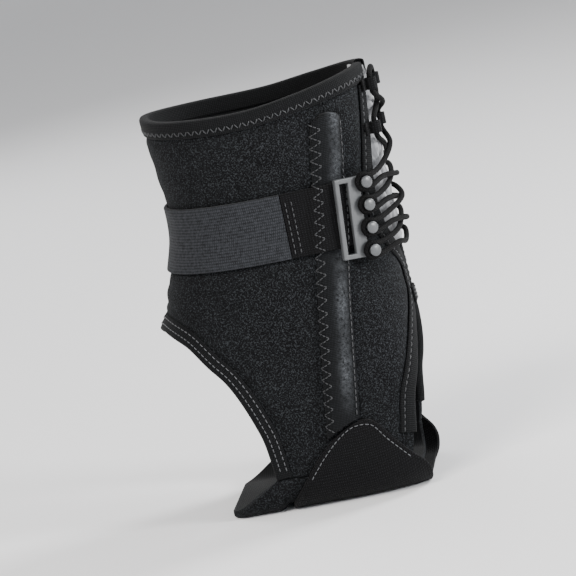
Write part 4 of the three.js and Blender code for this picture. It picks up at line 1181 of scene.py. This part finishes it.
# Heel seam tack: a short bar of webbing sewn over the lower end of the back seam, close on to
# the two back tapes.
TACK_HALF = 5
TACK_HEIGHT = 7.4
TACK_LOW = 0.905 * HEEL_OPENING_TOP
tack_reach = TACK_HALF / TURN_LENGTH
tack_angle = np.pi + tack_reach * np.linspace(-1, 1, 24)[None, :]
tack_z = (TACK_LOW + np.linspace(0, TACK_HEIGHT, 14))[:, None]
tack_edge = np.minimum(tack_z - tack_z.min(), tack_z.max() - tack_z)
tack_edge = np.minimum(tack_edge, TURN_LENGTH * (tack_reach - np.abs(tack_angle - np.pi)))
tack_face = SEWN_LIFT + BINDING_WALL
seam_tack = shell(
    "heel_seam_tack_webbing", skin(tack_angle, tack_z, tack_face - rounded(tack_edge, 0.5)),
    skin(tack_angle, tack_z, SEWN_LIFT + 0 * tack_edge), [WEBBING],
    np.stack(np.broadcast_arrays(TURN_LENGTH * tack_angle, tack_z), axis=-1),
)
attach(seam_tack, "root")
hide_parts("heel_seam_tack")


# Lace gusset: a pale soft tongue tucked behind the laced gap, gathered into upright pleats by
# the lace and creased where the strands cross it.
GUSSET_WALL = 1.4
GUSSET_BULGE = 1.4
GUSSET_FOOT = LACE_GAP_FOOT - 7
GUSSET_TOP = 183
GUSSET_TUCK = 7
PLEAT_DEPTH = 1.9


def tongue_finish():
    """Pale brushed tricot over thin foam: matt grey-white, with painted shade darkening the folds,
    faint wales.
    """
    finish, tree, shader = new_finish("brushed_tricot_tongue", "#9a9b9e", {
        "Roughness": 0.85, "Sheen Weight": 0.25, "Specular IOR Level": 0.3,
    })
    places = add_node(tree, "UVMap", {"uv_map": "millimetres"})
    wales = add_node(
        tree, "TexWave",
        {"bands_direction": "X", "Scale": WAVE / 0.9, "Distortion": 0.5, "Detail": 1},
        {"Vector": (places, "UV")},
    )
    space = add_node(tree, "TexCoord", {})
    nap = add_node(
        tree, "TexNoise", {"Scale": 1000, "Detail": 4, "Roughness": 0.7},
        {"Vector": (space, "Object")},
    )
    wear = add_node(tree, "TexNoise", {"Scale": 110, "Detail": 4}, {"Vector": (space, "Object")})
    body = add_node(
        tree, "Mix", {"data_type": "RGBA", 6: linear("#858689"), 7: linear("#aeafb1")},
        {0: (wear, "Fac")},
    )
    # Painted shade: the depth of the pleats and creases mixes the cloth towards dark grey, where
    # shade falls in the folds.
    fold = add_node(tree, "Attribute", {"attribute_name": "painted_fold_shade"})
    shaded = add_node(
        tree, "Mix", {"data_type": "RGBA", 7: linear("#47484a")}, {0: (fold, "Fac"), 6: (body, 2)},
    )
    pile = add_node(tree, "Math", {"operation": "ADD"}, {0: (nap, "Fac"), 1: (wales, "Fac")})
    bump = add_node(
        tree, "Bump", {"Strength": 0.35, "Distance": 0.0003}, {"Height": (pile, "Value")},
    )
    link_inputs(tree, shader, {"Base Color": (shaded, 2), "Normal": (bump, "Normal")})
    return finish


def gusset_grid():
    """Lift from tucked behind the panels to proud in the gap, less pleats and cross creases."""
    z = np.linspace(GUSSET_FOOT, GUSSET_TOP, 190)[:, None]
    share = np.linspace(-1, 1, 110)[None, :]
    back = section_at(z)[1]
    edge = back * (np.pi - back_edge_angle(z))
    clear = np.maximum(edge - SEAM_GAP - BINDING_WALL - LAYER_GAP, 0.5)
    away = share * (edge + GUSSET_TUCK)
    ramp = np.minimum(clear, 4.5)
    tucked = -PANEL_WALL - BINDING_WALL - 2 * LAYER_GAP
    rise = (1 - smoothstep(np.abs(away), clear - ramp, clear)) * smoothstep(clear, 1, 6)
    sway = 1.7 * np.sin(0.09 * z) + 0.9 * np.sin(0.27 * z + 0.2 * away)
    pleat = 0.5 + 0.5 * np.sin(1.15 * away + sway)
    crease = 0.5 + 0.5 * np.sin(0.55 * z + 0.5 * away + 1.8 * np.sin(0.35 * away + 0.11 * z))
    fold = rise * (0.55 * pleat ** 2 + 0.45 * crease ** 2)
    lift = lerp(tucked, GUSSET_BULGE, rise) + 0.2 * rise - PLEAT_DEPTH * fold
    angle = np.pi + away / back
    uv = np.stack(np.broadcast_arrays(away, z), -1)
    return skin(angle, z, lift), skin(angle, z, lift - GUSSET_WALL), fold, uv


gusset_outer, gusset_inner, gusset_fold_shade, gusset_uv = gusset_grid()
TONGUE = tongue_finish()
gusset = shell("lace_gusset_tongue", gusset_outer, gusset_inner, [TONGUE], gusset_uv)
# The fold depth is kept as a point attribute for the painted shade in the tongue's finish.
painted_fold_shade = gusset.data.attributes.new("painted_fold_shade", "FLOAT", "POINT")
painted_fold_shade.data.foreach_set("value", np.tile(gusset_fold_shade.ravel(), 2).astype(np.float32))
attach(gusset, "root")
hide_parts("lace_gusset")


# Lace: one round braided polyester cord, 2.4 mm thick, through the loops and round the pegs,
# crossing at the back; its ends are joined into one loop and held all the way. YARN is the step
# from one yarn of the braid to the next.
YARN = 0.889


def cord_finish():
    """Eight-strand braid: two sets of diagonal yarns 0.9 mm apart, black with a dull sheen."""
    finish, tree, shader = new_finish("braided_polyester_cord", "#121214", {
        "Roughness": 0.75, "Specular IOR Level": 0.1,
    })
    places = add_node(tree, "UVMap", {"uv_map": "millimetres"})
    bands = []
    for turn in (np.pi / 4, -np.pi / 4):
        turned = add_node(tree, "Mapping", {"Rotation": (0, 0, turn)}, {"Vector": (places, "UV")})
        bands.append(add_node(
            tree, "TexWave", {"bands_direction": "X", "Scale": WAVE / YARN},
            {"Vector": (turned, "Vector")},
        ))
    braid = add_node(
        tree, "Math", {"operation": "MAXIMUM"}, {0: (bands[0], "Fac"), 1: (bands[1], "Fac")},
    )
    colour = add_node(
        tree, "Mix", {"data_type": "RGBA", 6: linear("#020202"), 7: linear("#0a0a0b")},
        {0: (braid, "Value")},
    )
    bump = add_node(
        tree, "Bump", {"Strength": 0.8, "Distance": 0.0004}, {"Height": (braid, "Value")},
    )
    link_inputs(tree, shader, {"Base Color": (colour, 2), "Normal": (bump, "Normal")})
    return finish


def eye_stretch(z, side):
    """Three knots straight down through the eye of a loop."""
    origin, axes = eye_frame(z)
    drop = np.array([-1, 0, 1]) * (EYE_HEIGHT / 2 + 1)
    return (origin + np.stack([0 * drop, 0 * drop + EYE_OUTER, drop], 1) @ axes) * (1, side, 1)


def peg_turn(k, side):
    """Five knots round the neck of a peg, from the back over the front to the back."""
    a = np.radians([50, 115, 180, 245, 310])
    turn = PEG_RADIUS + LACE_RADIUS + 0.8
    height = np.full(len(a), PLATE_WALL + PEG_NECK / 2)
    knots = np.stack([PEG_X + turn * np.cos(a), PEG_Y[k] + turn * np.sin(a), height], 1)
    return on_plate(knots) * (1, side, 1)


def crossing(z, over):
    """The knot where a strand crosses the middle of the back, over the other strand or under."""
    lift = GUSSET_BULGE + 0.3 + LACE_RADIUS + (2 * LACE_RADIUS + 0.1) * over
    return skin(np.array([np.pi]), np.array([z]), np.array([lift]))


def shoulder(z, side):
    """The knot where a strand leaves a plate and bends round the back edge."""
    lift = GUSSET_BULGE + 4.4 * LAYER_GAP + LACE_RADIUS
    angle = lerp(back_edge_angle(PLATE_CENTRE), np.pi, 0.12)
    return skin(np.array([angle]), np.array([z]), np.array([lift])) * (1, side, 1)


def strand(start, over):
    """Route of one strand: eye, crossing, eye, then round each peg, changing side each time."""
    pegs = PLATE_CENTRE + PEG_Y
    route = [
        eye_stretch(UPPER_EYE, start), crossing((UPPER_EYE + LOWER_EYE) / 2, over),
        eye_stretch(LOWER_EYE, -start), crossing((LOWER_EYE + pegs[0]) / 2, over),
    ]
    for k in range(PEG_COUNT):
        side = start * (-1) ** k
        route += [
            shoulder(pegs[k] + PEG_PITCH / 4, side), peg_turn(k, side),
            shoulder(pegs[k] - PEG_PITCH / 4, side),
        ]
        if k < PEG_COUNT - 1:
            route.append(crossing(pegs[k] - PEG_PITCH / 2, over))
    return np.vstack(route)


def closed_curve(knots, count):
    """A closed centripetal Catmull-Rom curve through the knots, at even steps."""
    p0, p1, p2, p3 = (np.roll(knots, shift, axis=0)[:, None, :] for shift in (1, 0, -1, -2))
    chords = ((p0, p1), (p1, p2), (p2, p3))
    d0, d1, d2 = (np.linalg.norm(b - a, axis=2, keepdims=True) ** 0.5 for a, b in chords)
    m1 = ((p1 - p0) / d0 - (p2 - p0) / (d0 + d1) + (p2 - p1) / d1) * d1
    m2 = ((p2 - p1) / d1 - (p3 - p1) / (d1 + d2) + (p3 - p2) / d2) * d1
    t = np.linspace(0, 1, 40, endpoint=False)[None, :, None]
    curve = hermite(p1, p2, m1, m2, t).reshape(-1, 3)
    return even_places(np.vstack([curve, curve[:1]]), count)


def circles(across, out, turn):
    """Directions at the angles turn in the plane of each pair of unit directions."""
    cos, sin = np.cos(turn)[None, :, None], np.sin(turn)[None, :, None]
    return across[:, None, :] * cos + out[:, None, :] * sin


def lace_tube():
    """A round section carried along the route, framed by the direction away from the axis."""
    last = PLATE_CENTRE + PEG_Y[-1]
    knots = np.vstack([
        strand(1, 1), crossing(last - PEG_PITCH / 2, 0), strand(-1, 0)[::-1],
        crossing(UPPER_EYE + EYE_HEIGHT + LACE_RADIUS, 0),
    ])
    centre = closed_curve(knots, 1800)
    tangent = unit(np.roll(centre[:-1], -1, axis=0) - np.roll(centre[:-1], 1, axis=0))
    tangent = np.vstack([tangent, tangent[:1]])
    across = unit(np.cross(tangent, unit(centre * (1, 1, 0))))
    turn = np.linspace(0, 2 * np.pi, 17)
    ring = circles(across, np.cross(across, tangent), turn)
    period = YARN * np.sqrt(2)
    yarns = round(steps_along(centre).sum() / period)
    along = np.linspace(0, yarns * period, len(centre))
    uv = np.stack(np.broadcast_arrays(along[:, None], turn[None, :] * LACE_RADIUS), axis=-1)
    corners = centre[:, None, :] + LACE_RADIUS * ring
    return in_frame(corners), grid_faces(len(centre), len(turn)), uv.reshape(-1, 2)


lace_corners, lace_faces, lace_uv = lace_tube()
lace = new_mesh("lace_cord", lace_corners, lace_faces, [cord_finish()], lace_uv)
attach(lace, "root")
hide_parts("lace")


# Stitches: bonded polyester thread. Straight rows hold the bindings, zigzags hold the stay
# channels, and a pale row borders the foot strap. Each stitch dips into the cloth at its ends.
def thread_finish(name, colour):
    """Twisted bonded thread: a dull gloss, with plies too fine to show but as light and dark."""
    finish, tree, shader = new_finish(name, colour, {
        "Roughness": 0.5, "Sheen Weight": 0.1, "Specular IOR Level": 0.5,
    })
    places = add_node(tree, "TexCoord", {})
    plies = add_node(tree, "TexNoise", {"Scale": 2600, "Detail": 2}, {"Vector": (places, "Object")})
    dark = tuple(0.45 * value for value in linear(colour)[:3]) + (1.0,)
    mixed = add_node(
        tree, "Mix", {"data_type": "RGBA", 6: dark, 7: linear(colour)}, {0: (plies, "Fac")},
    )
    link_inputs(tree, shader, {"Base Color": (mixed, 2)})
    return finish


THREAD = thread_finish("charcoal_bonded_thread", "#303235")
PALE_THREAD = thread_finish("grey_bonded_thread", "#585a5d")


def along_path(points, normals, places):
    """Points, normals and sideways directions at lengths along a path."""
    length = lengths_along(points)
    sideways = unit(np.cross(np.gradient(points, axis=0), normals))
    return [
        np.stack([np.interp(places, length, column) for column in field.T], axis=1)
        for field in (points, normals, sideways)
    ]


def straight_stitches(points, normals, pitch=2.6, fill=0.74):
    """Stitch ends and normals in a plain row: each stitch is fill of the pitch long."""
    start = np.arange(0.3, lengths_along(points)[-1] - pitch, pitch)
    first, last = (along_path(points, normals, place) for place in (start, start + fill * pitch))
    return first[0], last[0], last[1]


def zigzag_stitches(on_cloth, total, width=4.4, period=5.2, steps=3):
    """A stepped zigzag: each slant is a few short stitches; on_cloth turns (along, side) to 3-D."""
    step = period / 2 / steps
    k = np.arange(int(total // step))
    turns = np.abs((np.append(k, len(k)) / steps) % 2 - 1) * width - width / 2
    ends = []
    for inset in (0.08, 0.92):
        at, up = on_cloth((k + inset) * step, lerp(turns[:-1], turns[1:], inset))
        ends.append(at)
    return ends[0], ends[1], up


def stitches(name, rows, finish, radius):
    """Small six-sided threads between stitch ends, arched up in the middle and sunk at the ends."""
    start, end, up = (np.vstack([row[k] for row in rows]) for k in range(3))
    up = unit(up)
    t = np.array([0, 0.12, 0.34, 0.66, 0.88, 1.0])
    arch = radius * np.array([-1.0, 0.1, 0.75, 0.75, 0.1, -1.0])
    swell = radius * np.array([0.55, 0.85, 1.0, 1.0, 0.85, 0.55])
    centre = lerp(start[:, None, :], end[:, None, :], t[None, :, None])
    centre = centre + up[:, None, :] * arch[None, :, None]
    ring = circles(unit(np.cross(unit(end - start), up)), up, np.arange(6) * np.pi / 3)
    corners = centre[:, :, None, :] + swell[None, :, None, None] * ring[:, None, :, :]
    r, k = np.meshgrid(np.arange(5), np.arange(6), indexing="ij")
    near, far = (r * 6 + k).ravel(), (r * 6 + (k + 1) % 6).ravel()
    caps = np.array([[3, 2, 1, 0], [5, 4, 3, 0], [30, 31, 32, 33], [30, 33, 34, 35]])
    one = np.vstack([np.stack([near, far, far + 6, near + 6], 1), caps])
    sample = corners[0].reshape(-1, 3)
    one = outward(sample - sample.mean(0), one)
    faces = (one[None] + len(sample) * np.arange(len(start))[:, None, None]).reshape(-1, 4)
    piece = new_mesh(name, in_frame(corners), faces, [finish])
    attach(piece, "root")


def on_skin(angle, z, lift):
    """Places at a lift above the form, with their normals."""
    at = skin(angle, z, lift)
    return at, unit(skin(angle, z, lift + 1) - at)


def binding_row(stations, into, depth, lift):
    """A path along a binding, depth inward from its edge, with its normals."""
    place = stations + inward_step(stations, into) * depth
    return on_skin(place[:, 0], place[:, 1], np.full(len(place), lift))


def both(row):
    """A row and its mirror image on the far side."""
    return [row, tuple(part * (1, -1, 1) for part in row)]


rim_row = binding_row(rim_stations, -1, 4.2, 0.36)


def on_rim(along, side):
    """Places on the rim's tape: along its row, and side from it."""
    low, up, sideways = along_path(*rim_row, along)
    return low + sideways * side[:, None], up


rim_length = lengths_along(rim_row[0])[-1]
rim_rows = [zigzag_stitches(on_rim, rim_length, width=2.6, period=3.6, steps=1)]
opening_rows = [
    straight_stitches(*binding_row(opening[4:-4], 1, 5.0, 0.36)),
    straight_stitches(*binding_row(opening[4:-4], 1, 2.0, 0.55), pitch=2.3),
]
back_rows = both(straight_stitches(*binding_row(back_stations, 1, 4.7, 0.33), pitch=2.9))
stitches("rim_and_back_stitches", rim_rows + back_rows, THREAD, radius=0.24)
stitches("foot_opening_stitches", opening_rows, PALE_THREAD, radius=0.22)

# The channel's two rows, as shares of its half width
FRONT_ROW = -0.78
REAR_ROW = 0.86


def on_channel(z, across):
    """Places on the channel's face, on the panel past its edge, or on the tab that covers it."""
    face = channel_lift(across, z)
    bare = np.where(np.abs(across) > 1.02, TAPE_LIFT, face)
    covered = (z > STRAP_LOW) & (z < STRAP_HIGH)
    lift = np.where(covered, face + LAYER_GAP + STRAP_WALL, bare) + 0.05
    return on_skin(channel_angle(z) + across * channel_half_turn(z), z, lift)


def on_front_border(along, side):
    """Places on the channel's front border: along it from its lower end, and side from it."""
    low = channel_low(np.array(FRONT_ROW)) + 2
    return on_channel(low + along, FRONT_ROW + side / (CHANNEL_WIDTH / 2))


front_length = CHANNEL_TOP - 5 - channel_low(np.array(FRONT_ROW))
front_rows = both(zigzag_stitches(on_front_border, front_length))
rear_row_z = np.linspace(channel_low(np.array(REAR_ROW)) + 1.5, CHANNEL_TOP - 4, 260)
rear_rows = both(straight_stitches(*on_channel(rear_row_z, np.full(260, REAR_ROW)), pitch=3.0))
stitches("channel_stitches", front_rows + rear_rows, THREAD, radius=0.26)

# The foot strap's border: up its front edge, over the peak and down its rear edge
BORDER_INSET = 2.4
border_height = np.linspace(14, 0.93 * FOOT_STRAP_HEIGHT, 80)
front_line, rear_line = strap_edges(border_height)
front_line, rear_line = front_line + BORDER_INSET, rear_line - BORDER_INSET
peak_share = np.linspace(0, 1, 20)[1:-1]
peak_x = lerp(front_line[-1], rear_line[-1], peak_share)
peak_z = border_height[-1] + 0.9 * np.sin(np.pi * peak_share)
border_x = np.concatenate([front_line, peak_x, rear_line[::-1]])
border_z = np.concatenate([border_height, peak_z, border_height[::-1]])
border_bend = np.arccos(np.clip(1 - border_z / SOLE_JOIN, 0, 1)) * 2 / np.pi
border_girth = row_girth(border_x, 1, 1, border_bend, np.maximum(border_z - SOLE_JOIN, 0))
border_at = under_skin(border_x, border_girth, SOLE_BASE - 0.1)
border_up = unit(under_skin(border_x, border_girth, SOLE_BASE + 1.0) - border_at)
border_rows = both(straight_stitches(border_at, border_up, pitch=2.4))
stitches("foot_strap_stitches", border_rows, PALE_THREAD, radius=0.22)

tab_rows = []
tab_row_z = np.linspace(STRAP_LOW + 1.5, STRAP_HIGH - 1.5, 40)
for x in (ELASTIC_END_X + 2.0, ELASTIC_END_X + 4.6):
    angle = angle_at(x, tab_row_z)
    across = (angle - channel_angle(tab_row_z)) / channel_half_turn(tab_row_z)
    lift = channel_lift(across, tab_row_z) + LAYER_GAP + STRAP_WALL + 0.02
    tab_rows += both(straight_stitches(*on_skin(angle, tab_row_z, lift)))
tack_row_angle = np.pi + np.linspace(-0.085, 0.085, 20)
tack_rows = [
    straight_stitches(*on_skin(tack_row_angle, z, tack_face), pitch=1.55)
    for z in np.linspace(tack_z.min() + 1.2, tack_z.max() - 1.2, 4)
]
stitches("strap_tab_stitches", tab_rows + tack_rows, THREAD, radius=0.24)
